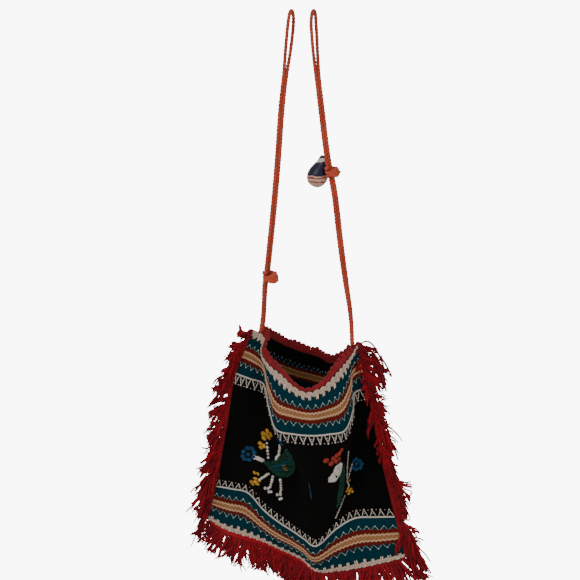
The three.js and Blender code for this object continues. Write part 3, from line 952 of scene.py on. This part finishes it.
def band_rows(levels, edge, seed):
    """The batches of one band: white, cream and pale."""
    draw = np.random.default_rng(seed)
    fine = np.linspace(1, PANEL_SIDE - 1, 260)
    wave = 0.9 * np.sin(2 * pi * fine / (PITCH / 2))
    start = np.arange(ZIGZAGS) * PITCH
    rise, stroke = ZIGZAG_SIZES[edge]
    white, cream, pale = [], [], []

    def tints(least, greatest, count=ZIGZAGS):
        return draw.uniform(least, greatest, count)

    def cord(distance, width, lift):
        return couched(levels, fine, from_edge(edge, distance), width, lift)

    def uneven(ends, spread):
        """Stitches across and in from the edge, each a little off, as places on the cloth."""
        ends = np.array(ends) + draw.normal(0, spread, (2 * ZIGZAGS, 2, 2))
        ends[..., 1] = from_edge(edge, ends[..., 1])
        return ends

    def vees(near, far, foot, tip, spread):
        """One leg up and one down in each pitch, all the first ones and then all the others."""
        up = [[(a + foot, near), (a + PITCH / 2 - tip, far)] for a in start]
        down = [[(a + PITCH / 2 + tip, far), (a + PITCH - foot, near)] for a in start]
        return uneven(up + down, spread)

    def row(shift, distance):
        distance = distance + draw.normal(0, 0.3, ZIGZAGS)
        return np.stack([start + shift, from_edge(edge, distance)], axis=1)

    for distance in BRAID_AT:
        cream.append((*cord(distance + wave, 2.3, 0.6), 0.45))
    floats = [[(a + 1.0, 16 + 2 * (k % 2)), (a + 3.2, 18 - (k % 2))] for k, a in enumerate(start)]
    floats += [[(a + 6.2, 21.4), (a + 8.0, 20.0)] for a in start]
    floats = stitches(levels, uneven(floats, 0.4), 1.1, 0.3, face=-1)
    pale.append((*floats, tints(0, 0.3, 2 * ZIGZAGS)))
    # The cream threads inside the bag get a low tint, darker than the braid outside: painted shade of
    # the bag's inside.
    for distance in INNER_THREADS_AT:
        cream.append((*cord(distance + 0.5 * wave, 1.3, -CLOTH - 0.3), 0.1))
    white.append((*cord(WHITE_CORD_AT + 0 * fine, 2.5, 0.7), 0.5))
    legs = vees(ZIGZAG_AT, ZIGZAG_AT + rise, 1.4, 0.4, 0.22)
    zigzag = stitches(levels, legs, stroke, 0.9, 0.7)
    white.append((*zigzag, tints(0.2, 0.6, 2 * ZIGZAGS)))
    dots = [
        row(PITCH / 2, ZIGZAG_AT + 0.8 + rise),
        row(0.3, ZIGZAG_AT + 1.0 + rise),
        row(PITCH / 2, ZIGZAG_AT + 4.0),
    ]
    for places, width in zip(dots, (1.75 * stroke, 0.95 * stroke, 0.8 * stroke)):
        white.append((*knots(levels, places, width), tints(0.2, 0.6)))
    for near, far in TEAL_ROWS:
        legs = stitches(levels, vees(near, far, 0.8, 0.3, 0.25), 0.85, 0.35)
        pale.append((*legs, tints(0, 0.45, 2 * ZIGZAGS)))
        pale.append((*knots(levels, row(PITCH / 2, far), 2.1), tints(0.3, 0.9)))
    return white, cream, pale


def banded(name, levels, seed):
    """Both bands of one wall, joined into a piece for each kind of wool."""
    white, cream, pale = [], [], []
    for edge in ("mouth", "hem"):
        seed += 1
        for total, more in zip((white, cream, pale), band_rows(levels, edge, seed)):
            total.extend(more)
    return [
        yarn_piece(name + "_zigzags", white, white_wool),
        yarn_piece(name + "_braid", cream, cream_wool),
        yarn_piece(name + "_teal_stitches", pale, pale_floss),
    ]


front_bands = banded("front", FRONT, 20)
back_bands = banded("back", BACK, 30)


# The pale crochet trim: two rows of chain laid along the mouth and the hem, with a short tooth
# under every second loop that ties it to the teal band.
TEETH = 28
# Each chain's distance from the edge at both ends of a loop, and its width, in millimetres
CHAINS = ((0.3, 1.6, 3.9), (4.6, 3.2, 3.2))
CORE_AT = 2.9
CORE_WIDTH = 4.6
TOOTH_START = 3.6
TOOTH_END = {"mouth": 10.6, "hem": 8.6}
TOOTH_WIDTH = 2.3
TRIM_SWAY = {"mouth": 2.0, "hem": 0.3}
dusty_yarn = yarn("dusty pale crochet yarn", (0.56, 0.42, 0.32), (0.25, 0.17, 0.12), 1500, 0.1)


def crochet_trim(name, levels, edge, node, seed):
    """Two rows of chain, a core under them, and a tooth of two stitches under every second loop."""
    draw = np.random.default_rng(seed)
    loops = np.arange(2 * TEETH) * PANEL_SIDE / (2 * TEETH)
    step = PANEL_SIDE / (2 * TEETH)
    fine = np.linspace(0.5, PANEL_SIDE - 0.5, 220)
    wave = lambda across: TRIM_SWAY[edge] * (0.4 + np.sin(pi * across / step + 0.8))
    batches = []
    bump = np.where(np.arange(2 * TEETH) % 2 == 0, 1.0, 0.6)
    for near, far, size in CHAINS:
        ends = np.array([[(a + 0.2, near), (a + step + 0.9, far)] for a in loops])
        width = size * bump
        ends += draw.normal(0, 0.2, ends.shape)
        ends[..., 1] = from_edge(edge, ends[..., 1] + wave(ends[..., 0]))
        made = stitches(levels, ends, width, 1.4, 0.6)
        batches.append((*made, draw.uniform(0.2, 0.6, len(ends))))
    core = couched(levels, fine, from_edge(edge, CORE_AT + wave(fine)), CORE_WIDTH, 0.6, 0.42)
    batches.append((*core, 0.2))
    teeth = np.arange(TEETH) * PANEL_SIDE / TEETH + step
    lean = draw.normal(0, 0.7, (TEETH, 2))
    for shift in (-0.95, 0.95):
        ends = np.array([[(a + shift, TOOTH_START), (a + shift, TOOTH_END[edge])] for a in teeth])
        ends[:, 1] += lean
        ends += draw.normal(0, 0.2, ends.shape)
        ends[..., 1] = from_edge(edge, ends[..., 1])
        made = stitches(levels, ends, TOOTH_WIDTH, 1.0, 0.85)
        batches.append((*made, draw.uniform(0.3, 0.7, TEETH)))
    piece = yarn_piece(name, batches, dusty_yarn)
    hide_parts(node)
    return piece


front_trim = crochet_trim("front_mouth_crochet", FRONT, "mouth", "front_mouth_trim", 41)
back_trim = crochet_trim("back_mouth_crochet", BACK, "mouth", "back_mouth_trim", 42)
front_hem = crochet_trim("front_hem_crochet", FRONT, "hem", "front_hem_trim", 43)
back_hem = crochet_trim("back_hem_crochet", BACK, "hem", "back_hem_trim", 44)


# The red crochet edging: shells of seven long stitches in wool, worked up from the rim along both
# walls. Along the middle of the front their tops lean into the mouth.
SCALLOP_HEIGHT = 9.0
SCALLOP_SEAM = 0.95
FRONT_CURL = 1.3
EDGING_MARGIN = 11
SPOKES = 7
SPOKE_WIDTH = 3.1
SHELL_FOOT = 1.6
SHELL_TOP = 4.9
RIM_CORDS = ((0.4, 3.0), (2.6, 2.6))
crimson_yarn = yarn("crimson crochet yarn", (0.25, 0.006, 0.010), (0.07, 0.0015, 0.003), 1500, 0.05)


def off_rim(levels, across, rise, curl):
    """Points above the rim in metres, from millimetres across the cloth and up from it."""
    across, rise = np.broadcast_arrays(across, rise)
    u = np.clip(across.ravel() / PANEL_SIDE, 0, 1)
    rim, lower = np.zeros_like(u), np.full_like(u, STEP)
    away = outward(levels, u, rim)
    middle = cloth_middle(levels, u, rim)
    up = unit(middle - cloth_middle(levels, u, lower))
    share = (rise.ravel() / SCALLOP_HEIGHT)[:, None]
    way = unit(up - away * share * curl * np.sin(pi * u)[:, None])
    points = middle + way * (SCALLOP_SEAM + rise.ravel())[:, None]
    return points.reshape(*across.shape, 3) / 1000, away.reshape(*across.shape, 3)


def scallops(name, levels, full, curl, low, node, seed):
    """One rim's shells, full times their height, lower by the share low at the rim's lowest."""
    draw = np.random.default_rng(seed)
    pitch = PANEL_SIDE / TEETH
    s = np.linspace(0, 1, 5)
    posts = []
    first = int(np.ceil(EDGING_MARGIN / pitch))
    for shell in range(first, TEETH - first):
        centre = (shell + 0.5) * pitch
        tall = SCALLOP_HEIGHT * full * draw.uniform(0.9, 1.08)
        for spoke in np.linspace(-1, 1, SPOKES):
            top = tall * (0.54 + 0.46 * np.sqrt(max(0, 1 - spoke**2)))
            foot, head = centre + SHELL_FOOT * spoke, centre + SHELL_TOP * spoke
            posts.append([(foot, -1.6), (head, top)])
    posts = np.array(posts) + draw.normal(0, 0.25, (len(posts), 2, 2))
    sag = 1 - low * np.exp(-(((posts[:, :, 0] / PANEL_SIDE - 0.52) / 0.15) ** 2))
    posts[:, :, 1] *= sag
    across, rise = between_ends(posts, s)
    runs, facing = off_rim(levels, across, rise, curl)
    width = SPOKE_WIDTH * np.array([0.8, 0.9, 1, 1.15, 0.95]) / 1000
    made = laid_along(pattern_stitch, runs, facing, np.broadcast_to(width, across.shape), 0.95)
    batches = [(*made, draw.uniform(0.1, 0.7, len(posts)))]
    fine = np.linspace(first * pitch - 2, (TEETH - first) * pitch + 2, 300)
    for rise_at, width in RIM_CORDS:
        run, away = off_rim(levels, fine, rise_at + 0.3 * np.sin(2 * pi * fine / 3.4), curl)
        made = laid_along(length_of_yarn(300, 6), run[None], away[None], width / 1000, 0.9)
        batches.append((*made, 0.3))
    piece = yarn_piece(name, batches, crimson_yarn)
    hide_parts(node)
    return piece


front_scallops = scallops("front_scallops", FRONT, 1.05, FRONT_CURL, 0.5, "front_edging", 51)
back_scallops = scallops("back_scallops", BACK, 1.3, 0, 0, "back_edging", 52)


# The two embroidered birds: satin-stitched green bodies facing each other across the fold, with
# flowers on white knotted stems for tails, all worked by hand in wool on the black felt.
yellow_wool = yarn("yellow embroidery wool", (0.50, 0.27, 0.025), (0.20, 0.08, 0.008), 1800, 0.0)
blue_wool = yarn("blue embroidery wool", (0.004, 0.050, 0.115), (0.002, 0.014, 0.038), 1800, 0.0)
green_wool = yarn("green embroidery wool", (0.002, 0.048, 0.024), (0.001, 0.012, 0.008), 1800, 0.0)
comb_wool = yarn("orange-red wool", (0.30, 0.028, 0.016), (0.10, 0.008, 0.005), 1800, 0.0)

# Places on the flat cloth in millimetres, across from the left seam and down from the mouth
GREEN_BODIES = [
    [(58, 153), (74, 138), (88, 119), (100, 101), (112, 88), (113, 104), (107, 122),
     (103, 136), (98, 149), (92, 157), (80, 161), (68, 158)],
    [(197, 118), (205, 117), (212, 136), (213, 158), (207, 184), (198, 184), (194, 162), (193, 138)],
]
WHITE_PATCHES = [
    [(179, 111), (190, 107), (198, 111), (196, 124), (188, 130), (177, 136), (168, 134),
     (168, 127), (174, 121), (176, 115)],
    [(45, 152), (60, 148), (61, 153), (46, 158)],
]
# Middle across, middle down, radius
COMB_PATCHES = [(166, 100, 3.8), (172, 106, 3.8), (176, 99, 3.8), (180, 104, 3.6), (182, 95, 3.8),
                (187, 101, 3.4), (188, 92, 3.8), (193, 87, 3.4)]
# Middle across, middle down, petals, ring across, ring down, its shear, petal radius
YELLOW_FLOWERS = [
    (61, 114, 5, 7.5, 5.0, -0.8, 2.9),
    (54, 132, 3, 3.4, 3.0, -0.5, 2.6),
    (57, 193, 5, 4.8, 5.4, -1.2, 2.8),
    (55, 178, 2, 2.6, 2.8, 0.0, 2.4),
    (225, 174, 5, 6.2, 5.0, 0.5, 2.2),
    (224, 158, 2, 2.4, 2.6, 0.0, 1.9),
]
BLUE_FLOWERS = [
    (39, 156, 8, 7.4, 9.8, -0.6, 3.5),
    (101, 84, 5, 6.0, 4.4, -1.0, 2.8),
    (243, 141, 8, 9.0, 7.0, 0.4, 2.9),
]
# First end, second end, bead width
WHITE_STEMS = [
    ((62, 124), (65, 141), 3.9),
    ((88, 106), (76, 135), 4.1),
    ((69, 164), (61, 183), 3.6),
    ((75, 164), (76, 181), 3.9),
    ((85, 163), (91, 180), 3.9),
    ((71, 187), (75, 184), 4.4),
    ((79, 186), (77, 188), 4.2),
    ((88, 185), (92, 183), 4.4),
    ((96, 187), (94, 189), 4.2),
    ((213, 103), (218, 152), 2.9),
    ((232, 136), (221, 150), 3.0),
    ((218, 152), (223, 165), 2.8),
    ((214, 176), (200, 201), 2.3),
]
# First end across, first end down, length
WING_DASHES = [(70, 150, 12), (74, 145, 14), (80, 140, 14), (84, 134, 12), (92, 128, 8), (76, 152, 14)]


def satin(levels, outline, slant, gap, width):
    """Parallel stitches that fill an outline in cloth millimetres."""
    outline = np.array(outline, float)
    way = np.array([cos(slant), sin(slant)])
    over = np.array([-way[1], way[0]])
    along, across = outline @ way, outline @ over
    ends = []
    for level in np.arange(across.min() + gap / 2, across.max(), gap):
        crossings = []
        for i in range(len(outline)):
            j = (i + 1) % len(outline)
            if (across[i] - level) * (across[j] - level) < 0:
                share = (level - across[i]) / (across[j] - across[i])
                crossings.append(along[i] + share * (along[j] - along[i]))
        crossings.sort()
        for a, b in zip(crossings[::2], crossings[1::2]):
            if b - a > 0.8:
                pieces = max(1, round((b - a) / 11))
                cuts = np.linspace(a, b, pieces + 1)
                for c, d in zip(cuts[:-1], cuts[1:]):
                    ends.append((c * way + level * over, d * way + level * over))
    return stitches(levels, np.array(ends), width, 0.7, 0.6)


def ring(across, down, wide, tall, slope, turns):
    """Places on an oval, sheared so that it looks round from the front on the folded cloth."""
    return [(across + wide * cos(a), down + tall * sin(a) + slope * wide * cos(a)) for a in turns]


def blob(across, down, wide, tall, slope=0.0, slant=0.9):
    """A round pad of satin stitches."""
    rim = ring(across, down, wide, tall, slope, np.arange(8) * pi / 4)
    return satin(FRONT, rim, slant, 1.1, 1.6)


def petals(flowers, seed):
    """Flowers (middle, petals, ring across and down, its shear, petal radius) in round pads."""
    draw = np.random.default_rng(seed)
    made = []
    for across, down, count, wide, tall, slope, radius in flowers:
        turns = draw.uniform(0, 2 * pi) + 2 * pi * np.arange(count) / count
        places = ring(across, down, wide, tall, slope, turns)
        if count > 3:
            places.append((across, down))
            turns = np.append(turns, 0)
        stretch = min(1.4, max(1.0, wide / tall))
        for (x, z), angle in zip(places, turns):
            x, z = x + draw.normal(0, 0.35), z + draw.normal(0, 0.35)
            size = radius * draw.uniform(0.88, 1.08)
            pad = blob(x, z, size * stretch, size, 0.5 * slope, angle)
            made.append((*pad, draw.uniform(0.0, 0.8)))
    return made


def beaded(lines, seed):
    """Lines of French knots set close together, greyer on the right bird."""
    draw = np.random.default_rng(seed)
    places, widths = [], []
    for start, end, width in lines:
        start, end = np.array(start, float), np.array(end, float)
        count = max(2, round(np.linalg.norm(end - start) / width) + 1)
        for share in np.linspace(0, 1, count):
            places.append(start + (end - start) * share)
            widths.append(width)
    places = np.array(places) + draw.normal(0, 0.25, (len(places), 2))
    widths = np.array(widths) * draw.uniform(0.9, 1.12, len(widths))
    greyer = np.where(places[:, 0] > 205, 0.5, 0)
    tint = draw.uniform(0.3, 0.8, len(places)) - greyer
    return (*knots(FRONT, places, widths), tint)


draw = np.random.default_rng(61)
bodies = [satin(FRONT, GREEN_BODIES[0], 1.9, 1.1, 1.45), satin(FRONT, GREEN_BODIES[1], 0.5, 1.1, 1.45)]
bird_bodies = yarn_piece(
    "bird_bodies", [(*b, draw.uniform(0, 0.7, len(b[0]))) for b in bodies], green_wool
)
patches = [satin(FRONT, WHITE_PATCHES[0], 2.5, 1.2, 1.7), satin(FRONT, WHITE_PATCHES[1], -0.2, 1.2, 1.8)]
whites = [(*p, draw.uniform(0.4, 0.9, len(p[0]))) for p in patches]
bird_whites = yarn_piece("bird_whites", [*whites, beaded(WHITE_STEMS, 62)], white_wool)
bird_yellow = yarn_piece("bird_flowers_yellow", petals(YELLOW_FLOWERS, 63), yellow_wool)
dashes = np.array([[(a, d), (a + long, d - long * 0.55)] for a, d, long in WING_DASHES], float)
streak = np.array([[(144, 134), (147, 146)], [(147, 145), (151, 158)]], float)
wings = (*stitches(FRONT, dashes, 1.6, 1.5, 0.5), 0.7)
streaks = (*stitches(FRONT, streak, 2.2, 0.8, 0.4), 0.1)
bird_blue = yarn_piece(
    "bird_flowers_blue", [*petals(BLUE_FLOWERS, 64), wings, streaks], blue_wool
)
marks = np.array([[(84, 144.5), (91, 140.5)], [(86, 147), (93, 143)], [(83, 141), (89, 137.5)]], float)
bird_marks = yarn_piece(
    "bird_wing_marks", [(*stitches(FRONT, marks, 1.1, 2.0, 0.6), 0.3)], yellow_wool
)
combs = [blob(across, down, radius, radius) for across, down, radius in COMB_PATCHES]
bird_combs = yarn_piece(
    "bird_combs", [(*c, draw.uniform(0.1, 0.8, len(c[0]))) for c in combs], comb_wool
)


# The fringe: hundreds of loose ends of red wool, bound into a flat corded heading that is sewn
# into both side seams and along the hem, on either side of the hem's sag.
red_wool = yarn("red fringe wool", (0.32, 0.003, 0.010), (0.06, 0.0006, 0.0025), 1500, 0.0)
loose_end = length_of_yarn(10, 5)
# Loose ends in one tuft, the share of them that stray, and how much further these do
TUFT = 5
STRAY_SHARE = 0.16
STRAY_PLAY = 2.4
# Ends that fall across the front are shorter and lean in over it
INWARD_LENGTH = 0.62
INWARD_LEAN = -0.45
HEADING_POINTS = 160
HEADING_STEP = 1.75
HEADING_CORD = 0.0026


def side_seam(end):
    """Places, ways out and ways along one side seam, by the share of the way down it."""
    def at(v):
        across = seam_side(end, v)
        turn = 1 if end == 0 else -1
        out = np.stack([across[:, 1] * turn, -across[:, 0] * turn, 0 * v], axis=1)
        here, ends = np.full_like(v, end), (np.maximum(v - STEP, 0), np.minimum(v + STEP, 1))
        along = unit(drape(FRONT, here, ends[1]) - drape(FRONT, here, ends[0]))
        return drape(FRONT, here, v), out, along
    return at


def hem_seam(u):
    """The same three along the hem, by the share of the way from its left end."""
    hem, above = np.ones_like(u), np.full_like(u, 1 - STEP)
    front = unit(drape(FRONT, u, hem) - drape(FRONT, u, above))
    back = unit(drape(BACK, u, hem) - drape(BACK, u, above))
    left, right = np.maximum(u - STEP, 0), np.minimum(u + STEP, 1)
    along = unit(drape(FRONT, right, hem) - drape(FRONT, left, hem))
    return drape(FRONT, u, hem), unit(front + back), along


def heading(seam, start, stop, width, draw):
    """Rows of cord laid along both faces of a seam's edge, with a painted sheen, a lighter tint, where
    the heading is wide.
    """
    cord = length_of_yarn(HEADING_POINTS, 6)
    place = np.linspace(start, stop, HEADING_POINTS)
    point, out, along = seam(place)
    thick = unit(np.cross(along, out))
    # A wide heading gets a lighter tint: a painted sheen on its smooth band.
    painted_sheen = 0.55 if width > 5 else 0
    batches = []
    for row in np.arange(0.8, max(width, 4.5), HEADING_STEP):
        for face in (-1, 1):
            bulge = face * (1.3 + 0.12 * np.sin(place * PANEL_SIDE * 2 * pi / 3.1 + 3 * row))
            run = point + out * row + thick * bulge[:, None]
            made = laid_along(cord, run[None] / 1000, thick[None], HEADING_CORD, 0.9)
            batches.append((*made, draw.uniform(0.1, 0.4) + painted_sheen))
    return batches


def fringe(name, node, seam, seed, density, reach, lean, first, corner,
           start=0.0, stop=1.0, swell=lambda x: 1.0, over=lambda x: 0.0):
    """Heading and loose ends in small tufts. Reach is their least and greatest length, which swell
    changes along the seam, lean is how far they stand out of it, first where they leave the
    heading, corner their bias along the seam, and over the share that falls across the front."""
    draw = np.random.default_rng(seed)
    long = abs(stop - start) * PANEL_SIDE
    tufts = round(long * density / TUFT)
    middle = start + (stop - start) * (np.arange(tufts) + draw.uniform(0, 1, tufts)) / tufts
    place = np.repeat(middle, TUFT)
    point, out, along = seam(place)
    thick = unit(np.cross(along, out))
    sideways = unit(along * (1, 0.3, 1))
    count = (TUFT * tufts, 1, 1)
    stray = np.where(draw.uniform(0, 1, count) < STRAY_SHARE, STRAY_PLAY, 1.0)

    def shared(values, own):
        """A tuft's value for all its ends, and a little of each one's own."""
        return np.repeat(values, TUFT).reshape(count) + draw.normal(0, own, count) * stray

    t = np.linspace(0, 1, 10)[None, :, None]
    near_corner = np.array([corner(x) for x in place]).reshape(-1, 1, 1)
    inward = draw.uniform(0, 1, tufts) < np.array([over(x) for x in middle])
    inward = np.repeat(inward, TUFT)[:, None, None]
    length = shared(draw.uniform(*reach, tufts) * np.array([swell(x) for x in middle]), 1.6)
    length = np.where(inward, INWARD_LENGTH * length, length)
    spread = shared(draw.normal(lean, 0.24, tufts), 0.08)
    spread = np.where(inward, INWARD_LEAN, np.clip(spread, -0.1, 0.99))
    swing = shared(draw.normal(0, 0.32, tufts), 0.08) + near_corner
    lift = shared(draw.normal(-0.04, 0.10, tufts), 0.02)
    tip = shared(draw.normal(0, 0.26, tufts), 0.08)
    spot = draw.uniform(-3.0, 3.0, count) * (1 - 0.72 * t)
    turns = draw.uniform(8, 15, count)
    phase = draw.uniform(0, 2 * pi, count)
    crimp = draw.uniform(0.5, 1.3, count) * np.minimum(3 * t, 1)
    front = np.where(inward, np.array([0, -1.0, 0]), 0)
    drop = np.sqrt(1 - spread**2)
    runs = (
        point[:, None]
        + out[:, None] * (first + 4 * np.minimum(2 * t, 1) * (spread > 0)
                          + length * spread * (1.12 * t - 0.12 * t**2))
        + np.array([0, 0, -1.0]) * length * drop * (0.4 * t + 0.6 * t**2)
        + front * (3 + 7 * t)
        + along[:, None] * (spot + crimp * np.sin(turns * t + phase))
        + sideways[:, None] * length * (swing * t + tip * t**3)
        + thick[:, None] * (draw.uniform(-1.8, 1.8, count) * (1 - 0.6 * t)
                            + length * lift * t**1.3 + crimp * np.cos(turns * t + phase))
    )
    width = draw.uniform(2.0, 2.8, (TUFT * tufts, 1))
    width = width * np.array([1, 1, 1, 1, 1, 1, 0.97, 0.94, 0.88, 0.7]) / 1000
    made = laid_along(loose_end, runs / 1000, thick[:, None], width)
    shade = np.repeat(draw.uniform(0, 0.55, tufts), TUFT) + draw.normal(0, 0.15, TUFT * tufts)
    ends = (*made, np.clip(shade, 0, 1))
    batches = [ends, *heading(seam, start, stop, first, draw)]
    piece = yarn_piece(name, batches, red_wool)
    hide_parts(node)
    return piece


def past(edge, reach, bias):
    """A bias along the seam that grows from a distance short of its end to the end itself."""
    return lambda x: bias * max(0.0, 1 - abs(x - edge) / reach)


def both(first, second):
    """Two biases added together."""
    return lambda x: first(x) + second(x)


fringe_left = fringe(
    "fringe_left_ends", "fringe_left", side_seam(0), 71, density=2.2, reach=(15, 25), lean=0.90,
    first=1.0, corner=both(past(0, 0.05, -0.45), past(1, 0.12, 0.9)),
)
fringe_right = fringe(
    "fringe_right_ends", "fringe_right", side_seam(1), 72, density=2.5, reach=(19, 29), lean=0.66,
    first=1.0, corner=both(past(0, 0.08, -0.5), past(1, 0.12, 0.8)),
    swell=lambda v: 1 + 0.24 * cos(2 * pi * (v - 0.09) / 0.26),
    over=lambda v: 0.36 if 0.03 < v < 0.22 else 0.16 if v < 0.5 else 0.03,
)
fringe_hem_left = fringe(
    "fringe_hem_left_ends", "fringe_bottom_left", hem_seam, 73, density=2.7, reach=(17, 28),
    lean=0.62, first=7.0, corner=past(0, 0.1, -0.85), stop=0.6,
)
fringe_hem_right = fringe(
    "fringe_hem_right_ends", "fringe_bottom_right", hem_seam, 74, density=2.9, reach=(19, 30),
    lean=0.62, first=3.0, corner=past(1, 0.1, 1.0), start=0.6,
)

# Long ends that have worked loose at the upper right corner: they rise from it, bend over and hang.
draw = np.random.default_rng(75)
STRAYS = 9
STRAY_WIDTH = 0.0026
one_each = (STRAYS, 1, 1)
t = np.linspace(0, 1, 10)[None, :, None]
point, out, _ = side_seam(1)(draw.uniform(0, 0.12, STRAYS))
out = unit(out + draw.normal(0, 0.25, (STRAYS, 3)) * (0, 1, 0))
length = draw.uniform(38, 56, one_each)
height = draw.uniform(4, 21, one_each)
stray_runs = (
    point[:, None]
    + out[:, None] * (2 + length * draw.uniform(0.5, 0.85, one_each) * t)
    + np.array([0, 0, 1.0]) * (4 * height * t * (1 - t) - 0.62 * length * t**2)
    + np.array([0, 1.2, 0]) * np.sin(9 * t + height)
)
strays = laid_along(loose_end, stray_runs / 1000, (0, 1, 0.1), STRAY_WIDTH)
fringe_strays = yarn_piece("fringe_strays", [(*strays, 0.05)], red_wool)


# The plain pale studio: a floor that sweeps up into a wall behind, soft light from both sides in
# front, and an even pale surrounding.
FLOOR_SIZE = 14
FLOOR_PLACE = (0, -3.5, -1.2)
WALL_HEIGHT = 8
SWEEP_WIDTH = 1.6
PAPER_GLOW = 8.0
SURROUNDING = 0.75
AIM = (0, 0, -0.5)
bpy.ops.object.select_all(action="DESELECT")
bpy.ops.mesh.primitive_plane_add(size=FLOOR_SIZE, location=FLOOR_PLACE)
sweep = bpy.context.object
sweep.name = "floor_and_wall"
bpy.ops.object.mode_set(mode="EDIT")
bpy.ops.mesh.select_all(action="DESELECT")
bpy.ops.object.mode_set(mode="OBJECT")
for edge in sweep.data.edges:
    edge.select = all(sweep.data.vertices[i].co.y > 0 for i in edge.vertices)
bpy.ops.object.mode_set(mode="EDIT")
bpy.ops.mesh.select_mode(type="EDGE")
bpy.ops.mesh.extrude_region_move(TRANSFORM_OT_translate={"value": (0, 0, WALL_HEIGHT)})
bpy.ops.object.mode_set(mode="OBJECT")
curve = sweep.modifiers.new("sweep", "BEVEL")
curve.width = SWEEP_WIDTH
curve.segments = 16
bpy.ops.object.modifier_apply(modifier=curve.name)
bpy.ops.object.shade_smooth()
paper, tree, surface = new_material("pale paper")
fill(tree, surface, {
    "Base Color": (0.9, 0.9, 0.9, 1),
    "Roughness": 0.95,
    "Emission Color": (1, 1, 1, 1),
    "Emission Strength": PAPER_GLOW,
})
sweep.data.materials.append(paper)
sweep.visible_diffuse = False
sweep.visible_glossy = False

for name, place, power, size in (
    ("key light", (-1.3, -1.9, 1.1), 31, 1.6),
    ("fill light", (1.6, -1.5, 0.2), 12, 1.8),
):
    bpy.ops.object.light_add(type="AREA", location=place)
    lamp = bpy.context.object
    lamp.name = name
    lamp.data.energy = power
    lamp.data.size = size
    aim = np.array(AIM) - np.array(place)
    lamp.rotation_euler = (
        np.arctan2(np.hypot(aim[0], aim[1]), -aim[2]), 0, np.arctan2(-aim[0], aim[1])
    )
world = bpy.data.worlds.new("pale surrounding")
bpy.context.scene.world = world
world.use_nodes = True
light = {"Color": (1, 1, 1, 1), "Strength": SURROUNDING}
fill(world.node_tree, world.node_tree.nodes["Background"], light)
